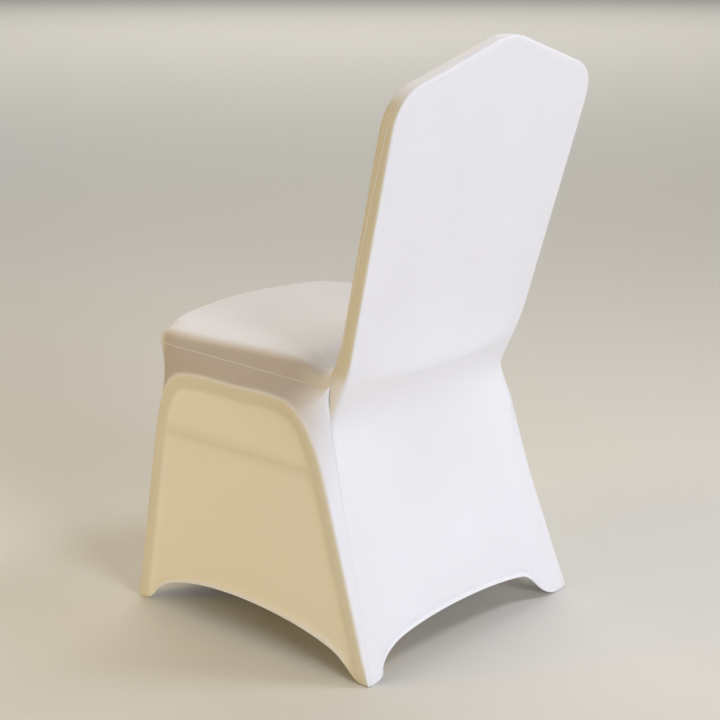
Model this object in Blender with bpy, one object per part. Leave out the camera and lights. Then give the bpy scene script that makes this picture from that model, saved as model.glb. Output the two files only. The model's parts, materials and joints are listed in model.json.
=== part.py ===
"""A stretch cover for a stacking chair, standing as it hangs on the chair, which is left out.

Four panels of knitted elastane cloth are sewn edge to edge: the back from crown to rear hem, the
front, which is inside back, seat and apron in one length, and the two sides below the seat. A
small pocket closes each foot. Every panel is a grid of cloth inside a border, and the border
follows the rounded edge that the cloth is pulled over, as far as its seam.
"""

from collections import namedtuple

import bmesh
import bpy
import numpy as np

# Cloth
WHITE = (0.86, 0.86, 0.88)
CLOTH = 0.0015
HEM_THICKNESS = 0.0026
HEM_SHARE = 0.032
SEAM_GAP = 0.0003

# Backrest: its rear face leans back, and its outline is a crown over two rounded shoulders
CROWN_HEIGHT = 0.920
CROWN_ROUNDING = 0.045
MOUNT_DEPTH = 0.002
SHOULDER_HALF_WIDTH = 0.228
SHOULDER_HEIGHT = 0.853
SHOULDER_ROUNDING = 0.064
WAIST_HALF_WIDTH = 0.2035
WAIST_HEIGHT = 0.424
WAIST_DEPTH = -0.0815
BACK_LEAN = 0.2694
BACKREST_THICKNESS = 0.026
BORDER_WIDTH = 0.030

# The lower legs: how far each leans for every metre of height
REAR_LEG_RAKE = -0.363
FRONT_LEG_RAKE = 0.124
LEG_FLARE = -0.067
REAR_FOOT_HALF_WIDTH = 0.248
FRONT_FOOT_HALF_WIDTH = 0.2395
FRONT_FOOT_DEPTH = -0.504
FOOT_WIDTH = 0.028
POCKET_HEIGHT = 0.034
POCKET_ROUNDING = 0.006

# Hem arches
REAR_HEM_HEIGHT = 0.0556
FRONT_HEM_HEIGHT = 0.058
SIDE_HEM_HEIGHT = 0.062
SQUARE_ARCH = 0.30
ROUND_ARCH = 0.45
SIDE_ARCH_SKEW = 0.10
SIDE_ARCH_REAR = -0.030
SIDE_ARCH_FRONT = -0.472

# Where stretched cloth spans a hollow or lies on a cushion
WAIST_SPAN = 0.020
WAIST_SHARE = 0.055
SEAT_CROWN = 0.009
FRONT_BOW = 0.025

# How far the shapes of a panel's top and hem reach into it
BACKREST_TOP_REACH = 0.16
SIDE_TOP_REACH = 0.10
HEM_REACH = 0.20

# Edge roundings
BACKREST_EDGE = 0.0055
SEAT_EDGE = 0.016
FRAME_EDGE = 0.012
FRAME_INSET = 0.014
SOFT_EDGE = 0.010
SEAM_FOLD = 0.0
SEAM_FEEL = 0.002
LONGEST_CUT = 0.45

# How finely the curves are cut
LEG_STEPS = 12
SEAT_STEPS = 14
UPRIGHT_STEPS = 13
CROWN_STEPS = 20
BORDER_STEPS = 6
POCKET_STEPS = 3
POCKET_CORNER_STEPS = 3
FINE = 13
BEND_WEIGHT = 0.020
SAME_POINT = 1e-6
EDGE_CROWDING = 0.80
TOP_CROWDING = 1.35

Point = namedtuple("Point", "across depth height")

# Lines on the right-hand side, from the waist, where three seams meet, down to the rear foot
REAR_FLAT = (
    Point(0.1745, -0.0825, 0.424),
    Point(0.1730, -0.0940, 0.402),
    Point(0.1700, -0.1010, 0.380),
    Point(0.1660, -0.1025, 0.360),
    Point(0.1650, -0.0990, 0.330),
    Point(0.1700, -0.0870, 0.270),
    Point(0.1780, -0.0710, 0.200),
    Point(0.1930, -0.0363, 0.100),
    Point(0.2140, 0.0000, 0.000),
)
REAR_EDGE = (
    Point(0.2040, -0.0825, 0.424),
    Point(0.2040, -0.0950, 0.403),
    Point(0.2020, -0.1060, 0.386),
    Point(0.1950, -0.1085, 0.370),
    Point(0.1900, -0.1060, 0.352),
    Point(0.1900, -0.1000, 0.325),
    Point(0.1940, -0.0885, 0.270),
    Point(0.1990, -0.0720, 0.200),
    Point(0.2110, -0.0363, 0.100),
    Point(0.2280, 0.0000, 0.000),
)
REAR_SEAM = (
    Point(0.2030, -0.1120, 0.424),
    Point(0.2015, -0.1170, 0.405),
    Point(0.2015, -0.1160, 0.388),
    Point(0.2030, -0.1120, 0.370),
    Point(0.2040, -0.1085, 0.3555),
    Point(0.2070, -0.0995, 0.326),
    Point(0.2085, -0.0845, 0.2505),
    Point(0.2115, -0.0690, 0.193),
    Point(0.2180, -0.0490, 0.137),
    Point(0.2310, -0.0212, 0.0585),
    Point(0.2410, 0.0000, 0.000),
)
REAR_LEG = (
    Point(0.2205, -0.1640, 0.3785),
    Point(0.2220, -0.1470, 0.3627),
    Point(0.2240, -0.1290, 0.3365),
    Point(0.2265, -0.1150, 0.3120),
    Point(0.2295, -0.1010, 0.2780),
    Point(0.2346, -0.0726, 0.2000),
    Point(0.2413, -0.0363, 0.1000),
    Point(0.2480, 0.0000, 0.0000),
)

# From the waist forward along the seat's side to its front corner
SEAT_FLAT = (
    Point(0.1720, -0.1150, 0.440),
    Point(0.1660, -0.1370, 0.435),
    Point(0.1600, -0.1600, 0.442),
    Point(0.1580, -0.1850, 0.4505),
    Point(0.1590, -0.2150, 0.4530),
    Point(0.1670, -0.3300, 0.4545),
    Point(0.1755, -0.4050, 0.4575),
    Point(0.1770, -0.4450, 0.4580),
)
SEAT_SIDE_EDGE = (
    Point(0.2010, -0.1130, 0.4330),
    Point(0.1950, -0.1340, 0.4295),
    Point(0.1890, -0.1550, 0.4330),
    Point(0.1870, -0.1770, 0.4430),
    Point(0.1885, -0.2050, 0.4480),
    Point(0.1990, -0.3200, 0.4510),
    Point(0.2080, -0.4050, 0.4530),
    Point(0.2105, -0.4380, 0.4530),
    Point(0.2060, -0.4665, 0.4510),
)
SEAT_SEAM = (
    Point(0.2030, -0.1120, 0.4240),
    Point(0.1990, -0.1400, 0.4175),
    Point(0.1950, -0.1700, 0.4160),
    Point(0.1955, -0.2000, 0.4170),
    Point(0.2035, -0.3000, 0.4225),
    Point(0.2120, -0.4000, 0.4275),
    Point(0.2145, -0.4330, 0.4290),
    Point(0.2115, -0.4610, 0.4295),
)
RAIL = (
    Point(0.2205, -0.1640, 0.3785),
    Point(0.2195, -0.1830, 0.3870),
    Point(0.2185, -0.2080, 0.3905),
    Point(0.2165, -0.3000, 0.3900),
    Point(0.2165, -0.3900, 0.3890),
    Point(0.2165, -0.4200, 0.3840),
    Point(0.2165, -0.4390, 0.3720),
)

# From the seat's front corner down to the front foot
APRON_FLAT = (
    Point(0.1770, -0.4450, 0.4580),
    Point(0.1760, -0.4780, 0.4555),
    Point(0.1700, -0.4830, 0.4340),
    Point(0.1650, -0.4740, 0.3950),
    Point(0.1670, -0.4710, 0.3500),
    Point(0.1780, -0.4760, 0.2800),
    Point(0.1900, -0.4860, 0.1500),
    Point(0.2060, -0.5040, 0.0000),
)
APRON_EDGE = (
    Point(0.2060, -0.4665, 0.4510),
    Point(0.1985, -0.4760, 0.4360),
    Point(0.1905, -0.4690, 0.4050),
    Point(0.1870, -0.4645, 0.3700),
    Point(0.1900, -0.4675, 0.3350),
    Point(0.1970, -0.4730, 0.2850),
    Point(0.2060, -0.4855, 0.1500),
    Point(0.2170, -0.5040, 0.0000),
)
APRON_SEAM = (
    Point(0.2115, -0.4610, 0.4295),
    Point(0.2055, -0.4580, 0.4000),
    Point(0.2015, -0.4570, 0.3700),
    Point(0.2045, -0.4635, 0.3350),
    Point(0.2105, -0.4705, 0.2850),
    Point(0.2185, -0.4855, 0.1500),
    Point(0.2290, -0.5040, 0.0000),
)
FRONT_LEG = (
    Point(0.2165, -0.4390, 0.3720),
    Point(0.2170, -0.4510, 0.3540),
    Point(0.2180, -0.4600, 0.3330),
    Point(0.2200, -0.4665, 0.3050),
    Point(0.2225, -0.4705, 0.2700),
    Point(0.2290, -0.4845, 0.1600),
    Point(0.2345, -0.4945, 0.0750),
    Point(0.2395, -0.5040, 0.0000),
)

# How far the back seam lies from the rear edge, on to the rear face where negative and on to the
# edge band where positive, along the way from the right waist over the crown to the left waist
SeamDrift = namedtuple("SeamDrift", "along offset")
BACK_SEAM_DRIFT = (
    SeamDrift(0.00, 0.021),
    SeamDrift(0.10, 0.021),
    SeamDrift(0.22, 0.015),
    SeamDrift(0.30, 0.010),
    SeamDrift(0.34, 0.003),
    SeamDrift(0.38, -0.003),
    SeamDrift(0.48, -0.006),
    SeamDrift(0.55, -0.017),
    SeamDrift(0.64, -0.015),
    SeamDrift(0.70, 0.004),
    SeamDrift(0.78, 0.015),
    SeamDrift(0.90, 0.021),
    SeamDrift(1.00, 0.021),
)

MIRROR = np.array([-1.0, 1.0, 1.0])
CORE = np.array([0.0, -0.20, 0.35])
SEAM_ORDER = np.array([0.0, -2.0, 1.0])
SHOULDER_OUTWARD = np.array([1.0, 0.0, 0.45])
REAR_FACE_DEPTH_AT_FLOOR = WAIST_DEPTH - BACK_LEAN * WAIST_HEIGHT
ORIGIN = np.array(
    [
        0.0,
        REAR_FACE_DEPTH_AT_FLOOR + BACK_LEAN * CROWN_HEIGHT - BACKREST_THICKNESS / 2,
        CROWN_HEIGHT - MOUNT_DEPTH,
    ]
)


def unit(vector):
    return vector / np.linalg.norm(vector)


def along(path):
    """How far each point of a path lies from its start."""
    return np.concatenate([[0.0], np.cumsum(np.linalg.norm(np.diff(path, axis=0), axis=1))])


def sample(path, distances):
    """Points of a path at the given distances from its start."""
    lengths = along(path)
    return np.stack([np.interp(distances, lengths, path[:, axis]) for axis in range(3)], axis=1)


def crowded(steps):
    """Fractions from 0 to 1 that crowd together at both ends."""
    across = np.linspace(-1.0, 1.0, steps + 1) * np.pi / 2 * EDGE_CROWDING
    return 0.5 + 0.5 * np.sin(across) / np.sin(np.pi / 2 * EDGE_CROWDING)


def smooth_path(table):
    """A fine smooth curve through a table of points."""
    knots = np.array(table, dtype=float)
    lengths = along(knots)
    slopes = np.gradient(knots, lengths, axis=0)
    path = []
    for start, end, slope, next_slope, chord in zip(
        knots, knots[1:], slopes, slopes[1:], np.diff(lengths)
    ):
        t = np.linspace(0.0, 1.0, FINE, endpoint=False)[:, None]
        path.append(
            (2 * t**3 - 3 * t**2 + 1) * start
            + (t**3 - 2 * t**2 + t) * chord * slope
            + (3 * t**2 - 2 * t**3) * end
            + (t**3 - t**2) * chord * next_slope
        )
    return np.concatenate(path + [knots[-1:]])


def stations(table, fractions):
    """Points of a table's smooth curve at fractions of its length."""
    path = smooth_path(table)
    return sample(path, fractions * along(path)[-1])


def rounded_path(corners, radii):
    """A path through its corners, each inner one rounded by its radius."""
    points = [corners[0]]
    for before, corner, after, radius in zip(corners, corners[1:], corners[2:], radii):
        if radius == 0.0:
            points.append(corner)
            continue
        back, ahead = before - corner, after - corner
        turn = np.arccos(np.clip(unit(back) @ unit(ahead), -1.0, 1.0))
        cut = radius / np.tan(turn / 2)
        cut = min(cut, LONGEST_CUT * np.linalg.norm(back), LONGEST_CUT * np.linalg.norm(ahead))
        start, end = corner + unit(back) * cut, corner + unit(ahead) * cut
        for t in np.linspace(0.0, 1.0, FINE):
            points.append((1 - t) ** 2 * start + 2 * t * (1 - t) * corner + t**2 * end)
    points.append(corners[-1])
    path = np.array(points)
    apart = np.linalg.norm(np.diff(path, axis=0), axis=1) > SAME_POINT
    return path[np.append(True, apart)]


def rear_face(across_and_height):
    """Points of the leaning rear face, from their place across and their height."""
    across, height = across_and_height[..., 0], across_and_height[..., 1]
    return np.stack([across, REAR_FACE_DEPTH_AT_FLOOR + BACK_LEAN * height, height], axis=-1)


def backrest_outline():
    """The backrest's rear edge, from the right waist up to the shoulder and over to the left."""
    waist = np.array([WAIST_HALF_WIDTH, WAIST_HEIGHT])
    shoulder = np.array([SHOULDER_HALF_WIDTH, SHOULDER_HEIGHT])
    crown = np.array([0.0, CROWN_HEIGHT + CROWN_ROUNDING * 0.04])
    flip = np.array([-1.0, 1.0])
    corners = [waist, shoulder, crown, shoulder * flip, waist * flip]
    radii = [SHOULDER_ROUNDING, CROWN_ROUNDING, SHOULDER_ROUNDING]
    return rear_face(rounded_path(corners, radii))


def inset(edge, width):
    """A line on the backrest's face, inside its edge by a width."""
    lean = unit(np.array([0.0, BACK_LEAN, 1.0]))
    across = np.array([1.0, 0.0, 0.0])
    ahead = np.gradient(edge, axis=0)
    ahead /= np.linalg.norm(ahead, axis=1)[:, None]
    inward = (ahead @ lean)[:, None] * -across + (ahead @ across)[:, None] * lean
    return edge + inward * width


def nearest_distance(path, point):
    """How far along a path its nearest point to a given one is."""
    return along(path)[np.argmin(np.linalg.norm(path - point, axis=1))]


def spread(path, start, end, steps):
    """Distances along a path from start to end, closer together where the path bends."""
    lengths = along(path)
    ahead = np.diff(path, axis=0)
    ahead /= np.linalg.norm(ahead, axis=1)[:, None]
    turns = np.arccos(np.clip((ahead[1:] * ahead[:-1]).sum(axis=1), -1.0, 1.0))
    effort = lengths + BEND_WEIGHT * np.concatenate([[0.0], np.cumsum(turns), [turns.sum()]])
    ends = np.interp([start, end], lengths, effort)
    return np.interp(np.linspace(*ends, steps + 1), effort, lengths)


class Seam:
    """Two panels' shared seam: at each station, the cross-section over the edge they meet on."""

    def __init__(self, controls, radii, cuts=None):
        self.profiles = [rounded_path(list(row), radii) for row in controls]
        if cuts is None:
            cuts = [nearest_distance(path, row[2]) for path, row in zip(self.profiles, controls)]
        self.cuts = np.array(cuts)
        self.points = np.array(
            [sample(p, np.array([cut]))[0] for p, cut in zip(self.profiles, self.cuts)]
        )
        self.normals = self.find_normals()

    def find_normals(self):
        """The cloth's outward direction at each station."""
        ahead = np.gradient(self.points, axis=0)
        normals = []
        for profile, cut, point, forward in zip(self.profiles, self.cuts, self.points, ahead):
            before, after = sample(profile, np.array([cut - SEAM_FEEL, cut + SEAM_FEEL]))
            normal = unit(np.cross(after - before, forward))
            normals.append(normal * np.sign(normal @ (point - CORE)))
        return np.array(normals)

    def mirrored(self):
        """The same seam on the left-hand side."""
        other = object.__new__(Seam)
        other.profiles = [profile * MIRROR for profile in self.profiles]
        other.cuts = self.cuts
        other.points = self.points * MIRROR
        other.normals = self.normals * MIRROR
        return other

    def border(self, panel, steps):
        """One panel's border at each station, from its flat edge out to the seam."""
        rows = []
        for profile, cut in zip(self.profiles, self.cuts):
            if panel == "first":
                distances = spread(profile, 0.0, cut - SEAM_GAP / 2, steps)
            else:
                distances = spread(profile, along(profile)[-1], cut + SEAM_GAP / 2, steps)
            rows.append(sample(profile, distances))
        return np.array(rows)


def smoothstep(low, high, value):
    t = np.clip((value - low) / (high - low), 0.0, 1.0)
    return t * t * (3 - 2 * t)


def back_seam():
    """The seam between back and front, from the right waist over the crown to the left waist."""
    outline = backrest_outline()
    lengths = along(outline)
    shoulder = np.argmax(outline @ SHOULDER_OUTWARD)
    upright = np.linspace(0.0, lengths[shoulder], UPRIGHT_STEPS + 1)
    crown = lengths[shoulder] + crowded(CROWN_STEPS) * (lengths[-1] - 2 * lengths[shoulder])
    distances = np.concatenate([upright[:-1], crown, lengths[-1] - upright[::-1][1:]])
    rear_edge = sample(outline, distances)
    forward = np.array([0.0, -BACKREST_THICKNESS, 0.0])
    front_edge = rear_edge + forward
    fine_inset = inset(outline, BORDER_WIDTH)
    rear_flat = np.stack(
        [np.interp(distances, lengths, fine_inset[:, axis]) for axis in range(3)], axis=1
    )
    front_flat = rear_flat + forward
    # Near the waist the front edge, its flat and the seam turn forward to the seat
    share = distances / lengths[-1]
    for end, sign in ((share, 1.0), (1.0 - share, -1.0)):
        settle = 1.0 - smoothstep(0.0, WAIST_SHARE, end)
        mirror = np.array([sign, 1.0, 1.0])
        for line, table in ((front_flat, SEAT_FLAT), (front_edge, SEAT_SIDE_EDGE)):
            start = 0 if sign > 0 else -1
            line += settle[:, None] * (np.array(table[0]) * mirror - line[start])
    between = (rear_edge + front_edge) / 2
    for end, sign in ((share, 1.0), (1.0 - share, -1.0)):
        settle = 1.0 - smoothstep(0.0, WAIST_SHARE, end)
        mirror = np.array([sign, 1.0, 1.0])
        start = 0 if sign > 0 else -1
        between += settle[:, None] * (np.array(REAR_SEAM[0]) * mirror - between[start])
    controls = np.stack([rear_flat, rear_edge, between, front_edge, front_flat], axis=1)
    radii = (BACKREST_EDGE, SEAM_FOLD, BACKREST_EDGE)
    drift = np.array(BACK_SEAM_DRIFT)
    offsets = np.interp(share, drift[:, 0], drift[:, 1])
    cuts = []
    for row, part, offset in zip(controls, share, offsets):
        profile = rounded_path(list(row), radii)
        wanted = nearest_distance(profile, row[1]) + offset
        middle = nearest_distance(profile, row[2])
        at_waist = 1.0 - smoothstep(0.0, WAIST_SHARE, min(part, 1.0 - part))
        cuts.append(wanted + at_waist * (middle - wanted))
    return Seam(controls, radii, cuts)


def side_flat(leg, centre_depth, centre_height):
    """The side panel's flat edge, inside the frame's ridge line by the frame's own rounding."""
    ahead = np.gradient(leg, axis=0)
    ahead /= np.linalg.norm(ahead, axis=1)[:, None]
    target = leg.copy()
    target[:, 1] = np.clip(leg[:, 1], centre_depth[0], centre_depth[1])
    target[:, 2] = np.minimum(leg[:, 2], centre_height)
    hint = target - leg
    inward = hint - (hint * ahead).sum(axis=1)[:, None] * ahead
    inward /= np.linalg.norm(inward, axis=1)[:, None]
    return leg + inward * FRAME_INSET


def lower_seams():
    """The right-hand seams below the waist: rear leg, seat side and front leg."""
    leg_share = np.linspace(0.0, 1.0, LEG_STEPS) ** TOP_CROWDING * (1.0 - HEM_SHARE)
    leg_share = np.append(leg_share, 1.0)
    seat_share = crowded(SEAT_STEPS)
    ridge = np.concatenate(
        [
            stations(REAR_LEG, leg_share)[::-1],
            stations(RAIL, seat_share)[1:],
            stations(FRONT_LEG, leg_share)[1:],
        ]
    )
    flat = side_flat(ridge, (-0.42, -0.19), 0.33)
    waist, corner = LEG_STEPS, LEG_STEPS + SEAT_STEPS
    rear = Seam(
        np.stack(
            [
                stations(REAR_FLAT, leg_share),
                stations(REAR_EDGE, leg_share),
                stations(REAR_SEAM, leg_share),
                ridge[waist::-1],
                flat[waist::-1],
            ],
            axis=1,
        ),
        (BACKREST_EDGE, SEAM_FOLD, FRAME_EDGE),
    )
    seat = Seam(
        np.stack(
            [
                stations(SEAT_FLAT, seat_share),
                stations(SEAT_SIDE_EDGE, seat_share),
                stations(SEAT_SEAM, seat_share),
                ridge[waist : corner + 1],
                flat[waist : corner + 1],
            ],
            axis=1,
        ),
        (SEAT_EDGE, SEAM_FOLD, FRAME_EDGE),
    )
    apron = Seam(
        np.stack(
            [
                stations(APRON_FLAT, leg_share),
                stations(APRON_EDGE, leg_share),
                stations(APRON_SEAM, leg_share),
                ridge[corner:],
                flat[corner:],
            ],
            axis=1,
        ),
        (SOFT_EDGE, SEAM_FOLD, FRAME_EDGE),
    )
    return rear, seat, apron


def assemble(pieces, side_steps):
    """A panel's border and seam normals, from its right-hand foot over its top to its left.

    Each piece is a seam, the panel's name in it, and whether the way along it is reversed.
    """
    borders, normals = [], []
    for seam, panel, reverse in pieces:
        border, normal = seam.border(panel, BORDER_STEPS), seam.normals
        if reverse:
            border, normal = border[::-1], normal[::-1]
        skip = 1 if borders else 0
        borders.append(border[skip:])
        normals.append(normal[skip:])
    borders, normals = np.concatenate(borders), np.concatenate(normals)
    flat = borders[:, 0]
    right, left = flat[: side_steps + 1], flat[-1 : -side_steps - 2 : -1]
    top = flat[side_steps : len(flat) - side_steps]
    return borders, normals, right, left, top


def span(right, left, top, hem, top_reach=BACKREST_TOP_REACH):
    """A grid of cloth between its two sides, its hem and its top; rows run from the hem up."""
    share = along(top) / along(top)[-1]
    share = share[None, :, None]
    grid = right[:, None] * (1 - share) + left[:, None] * share
    height = along(right)[:, None, None]
    near_top = 1.0 - smoothstep(0.0, top_reach, height[-1] - height)
    near_hem = 1.0 - smoothstep(0.0, HEM_REACH, height)
    grid = grid + near_top * (top - grid[-1]) + near_hem * (hem - grid[0])
    return grid


def panel_object(name, grid, borders, normals):
    """One panel: its grid, the border outside the grid's sides and top, and its thickness."""
    rows, columns = grid.shape[:2]
    points = list(grid.reshape(-1, 3))
    number = np.arange(rows * columns).reshape(rows, columns)
    quads = []
    for row in range(rows - 1):
        for column in range(columns - 1):
            quads.append(
                (
                    number[row, column],
                    number[row, column + 1],
                    number[row + 1, column + 1],
                    number[row + 1, column],
                )
            )
    rim = np.concatenate([number[:, 0], number[-1, 1:], number[-2::-1, -1]])
    previous = rim
    for layer in range(1, borders.shape[1]):
        current = np.arange(len(points), len(points) + len(rim))
        points.extend(borders[:, layer])
        for at in range(len(rim) - 1):
            quads.append((previous[at], previous[at + 1], current[at + 1], current[at]))
        previous = current
    outer = np.array(points)
    thickness = np.full(len(outer), CLOTH)
    folded = smoothstep(POCKET_HEIGHT / 3, POCKET_HEIGHT, grid[0, :, 2])
    for row in number[:2]:
        thickness[row] += (HEM_THICKNESS - CLOTH) * folded
    vertex_normals = np.zeros_like(outer)
    for quad in quads:
        a, b, c, d = (outer[corner] for corner in quad)
        vertex_normals[list(quad)] += np.cross(c - a, d - b)
    lengths = np.linalg.norm(vertex_normals, axis=1)[:, None]
    vertex_normals /= lengths
    facing = np.sign((vertex_normals[previous] * normals).sum())
    vertex_normals *= facing
    vertex_normals[previous] = normals
    quads = [bulging(quad, outer, facing) for quad in quads]
    inner = outer - vertex_normals * thickness[:, None]
    outer[:, 2] = np.maximum(outer[:, 2], 0.0)
    inner[:, 2] = np.maximum(inner[:, 2], 0.0)
    count = len(outer)
    faces = [quad if facing > 0 else flipped(quad) for quad in quads]
    edges = {(quad[at], quad[(at + 1) % 4]) for quad in faces for at in range(4)}
    open_edges = [edge for edge in edges if edge[::-1] not in edges]
    faces += [tuple(corner + count for corner in flipped(quad)) for quad in list(faces)]
    # Both walls of a seam split the same way, from the outer point that comes first along it
    rank = outer @ SEAM_ORDER
    for start, end in sorted(open_edges):
        wall = (end, start, start + count, end + count)
        faces.append(wall if rank[end] < rank[start] else wall[1:] + wall[:1])
    return add_object(name, np.concatenate([outer, inner]), faces)


def bulging(quad, points, facing):
    """A quad turned so that it splits along the diagonal that lies further out."""
    a, b, c, d = (points[corner] for corner in quad)
    outward = np.cross(c - a, d - b) * facing
    return quad if (a + c - b - d) @ outward >= 0 else quad[1:] + quad[:1]


def flipped(face):
    """A face turned over, from the same first corner, so that it splits along the same line."""
    return face[:1] + face[:0:-1]


def add_object(name, points, faces):
    mesh = bpy.data.meshes.new(name)
    form = bmesh.new()
    corners = [form.verts.new(point) for point in points - ORIGIN]
    for face in faces:
        for second, third in zip(face[1:], face[2:]):
            form.faces.new([corners[face[0]], corners[second], corners[third]])
    form.to_mesh(mesh)
    form.free()
    mesh.shade_smooth()
    mesh.set_sharp_from_angle(angle=np.radians(50))
    material = bpy.data.materials.new(name)
    material.use_nodes = True
    shader = material.node_tree.nodes["Principled BSDF"]
    shader.inputs["Base Color"].default_value = (*WHITE, 1.0)
    shader.inputs["Roughness"].default_value = 0.85
    shader.inputs["Metallic"].default_value = 0.0
    mesh.materials.append(material)
    obj = bpy.data.objects.new(name, mesh)
    bpy.context.scene.collection.objects.link(obj)
    return obj


def arch(share, squareness):
    """A hem's arch, 0 at both feet and 1 at its top, over a share from -1 to 1."""
    return np.maximum(1.0 - share**2, 0.0) ** squareness


def across_share(top):
    """Where each column lies across a panel, from 1 on the right to -1 on the left."""
    return 1.0 - 2.0 * along(top) / along(top)[-1]


def make_back(over, rear):
    pieces = [(rear, "first", True), (over, "first", False), (rear.mirrored(), "first", False)]
    borders, normals, right, left, top = assemble(pieces, LEG_STEPS + UPRIGHT_STEPS)
    share = across_share(top)
    height = REAR_HEM_HEIGHT * arch(share, SQUARE_ARCH)
    hem = np.stack([share * right[0, 0], REAR_LEG_RAKE * height, height], axis=1)
    grid = span(right, left, top, hem)
    bridge = np.exp(-(((grid[..., 2] - WAIST_HEIGHT + 0.04) / 0.085) ** 2))
    grid[..., 1] += WAIST_SPAN * bridge * (1.0 - share**2)
    return panel_object("back_panel", grid, borders, normals)


def make_front(over, seat, apron):
    pieces = [
        (apron, "first", True),
        (seat, "first", True),
        (over, "last", False),
        (seat.mirrored(), "first", False),
        (apron.mirrored(), "first", False),
    ]
    borders, normals, right, left, top = assemble(
        pieces, LEG_STEPS + SEAT_STEPS + UPRIGHT_STEPS
    )
    share = across_share(top)
    height = FRONT_HEM_HEIGHT * arch(share, SQUARE_ARCH)
    hem = np.stack(
        [share * right[0, 0], FRONT_FOOT_DEPTH + FRONT_LEG_RAKE * height, height], axis=1
    )
    grid = span(right, left, top, hem)
    depth, height = grid[..., 1].copy(), grid[..., 2].copy()
    on_seat = smoothstep(-0.16, -0.26, depth) * smoothstep(0.40, 0.445, height)
    grid[..., 2] += SEAT_CROWN * on_seat * (1.0 - share**2) ** 2
    forward = smoothstep(-0.26, -0.45, depth) * smoothstep(0.14, 0.42, height)
    grid[..., 1] -= FRONT_BOW * forward * (1.0 - np.abs(share) ** 2.4)
    return panel_object("front_panel", grid, borders, normals)


def make_side(name, rear, seat, apron, mirror):
    pieces = [(rear, "last", True), (seat, "last", False), (apron, "last", False)]
    borders, normals, right, left, top = assemble(pieces, LEG_STEPS)
    share = (1.0 - across_share(top)) / 2.0
    depth = right[0, 1] + share * (left[0, 1] - right[0, 1])
    middle = (SIDE_ARCH_REAR + SIDE_ARCH_FRONT) / 2
    place = np.clip((depth - middle) / (SIDE_ARCH_REAR - middle), -1.0, 1.0)
    height = SIDE_HEM_HEIGHT * arch(place, ROUND_ARCH) * (1.0 - SIDE_ARCH_SKEW * place)
    across = right[0, 0] + share * (left[0, 0] - right[0, 0]) + LEG_FLARE * height
    hem = np.stack([across, depth, height], axis=1)
    grid = span(right, left, top, hem, SIDE_TOP_REACH)
    return panel_object(name, grid * mirror, borders * mirror, normals * mirror)


def pocket_loop(corner, inward, size, rounding, height, rake):
    """A rounded square around a foot at a height, from its outer corner inward."""
    centre = corner + inward * size / 2
    points = []
    for quarter in range(4):
        for step in range(POCKET_CORNER_STEPS + 1):
            turn = np.radians(90 * (quarter + step / POCKET_CORNER_STEPS))
            heading = np.radians(45 + 90 * quarter)
            middle = np.sign([np.cos(heading), np.sin(heading)]) * (size / 2 - rounding)
            points.append(centre + middle + rounding * np.array([np.cos(turn), np.sin(turn)]))
    points = np.array(points) + np.array([LEG_FLARE, rake]) * height
    return np.column_stack([points, np.full(len(points), height)])


def make_pocket(name, corner, inward, rake, mirror):
    """The small cup of cloth that closes round a foot, inside the panels' tips."""
    seat_of_pocket = CLOTH + 2 * SEAM_GAP
    inward = np.array(inward)
    corner = np.array(corner) + inward * seat_of_pocket
    size = FOOT_WIDTH - 2 * seat_of_pocket
    levels = np.linspace(0.0, POCKET_HEIGHT, POCKET_STEPS + 1)
    outside = [
        pocket_loop(corner, inward, size, POCKET_ROUNDING, level, rake) for level in levels
    ]
    inner_corner, inner_size = corner + inward * CLOTH, size - 2 * CLOTH
    inner_rounding = POCKET_ROUNDING - CLOTH
    inside = [
        pocket_loop(inner_corner, inward, inner_size, inner_rounding, max(level, CLOTH), rake)
        for level in levels[::-1]
    ]
    loops = outside + inside
    count = len(loops[0])
    faces = [tuple(range(count))[::-1]]
    for level in range(len(loops) - 1):
        for at in range(count):
            after = (at + 1) % count
            low, high = level * count, (level + 1) * count
            faces.append((low + at, low + after, high + after, high + at))
    faces.append(tuple(range(count * (len(loops) - 1), count * len(loops))))
    if mirror[0] < 0:
        faces = [flipped(face) for face in faces]
    return add_object(name, np.concatenate(loops) * mirror, faces)


def main():
    for obj in list(bpy.data.objects):
        bpy.data.objects.remove(obj)
    over = back_seam()
    rear, seat, apron = lower_seams()
    waist_normal = unit(over.normals[0] + rear.normals[0] + seat.normals[0])
    for seam in (over, rear, seat):
        seam.normals[0] = waist_normal
    over.normals[-1] = waist_normal * MIRROR
    corner_normal = unit(seat.normals[-1] + apron.normals[0])
    seat.normals[-1] = corner_normal
    apron.normals[0] = corner_normal
    make_back(over, rear)
    make_front(over, seat, apron)
    make_side("side_panel_right", rear, seat, apron, np.ones(3))
    make_side("side_panel_left", rear, seat, apron, MIRROR)
    rear_corner = (REAR_FOOT_HALF_WIDTH, 0.0)
    front_corner = (FRONT_FOOT_HALF_WIDTH, FRONT_FOOT_DEPTH)
    for side, mirror in (("right", np.ones(3)), ("left", MIRROR)):
        make_pocket(f"rear_foot_pocket_{side}", rear_corner, (-1.0, -1.0), REAR_LEG_RAKE, mirror)
        make_pocket(f"front_foot_pocket_{side}", front_corner, (-1.0, 1.0), FRONT_LEG_RAKE, mirror)


if __name__ == "__main__":
    main()
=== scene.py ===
# %% [markdown]
# A stretch chair cover, dressed as a lesson. The cover is four panels of white elastane knit and a
# small pocket at each foot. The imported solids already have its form. Here each panel is made again
# with a finer net, so that its roundings, hems and seams read as cloth.

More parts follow.
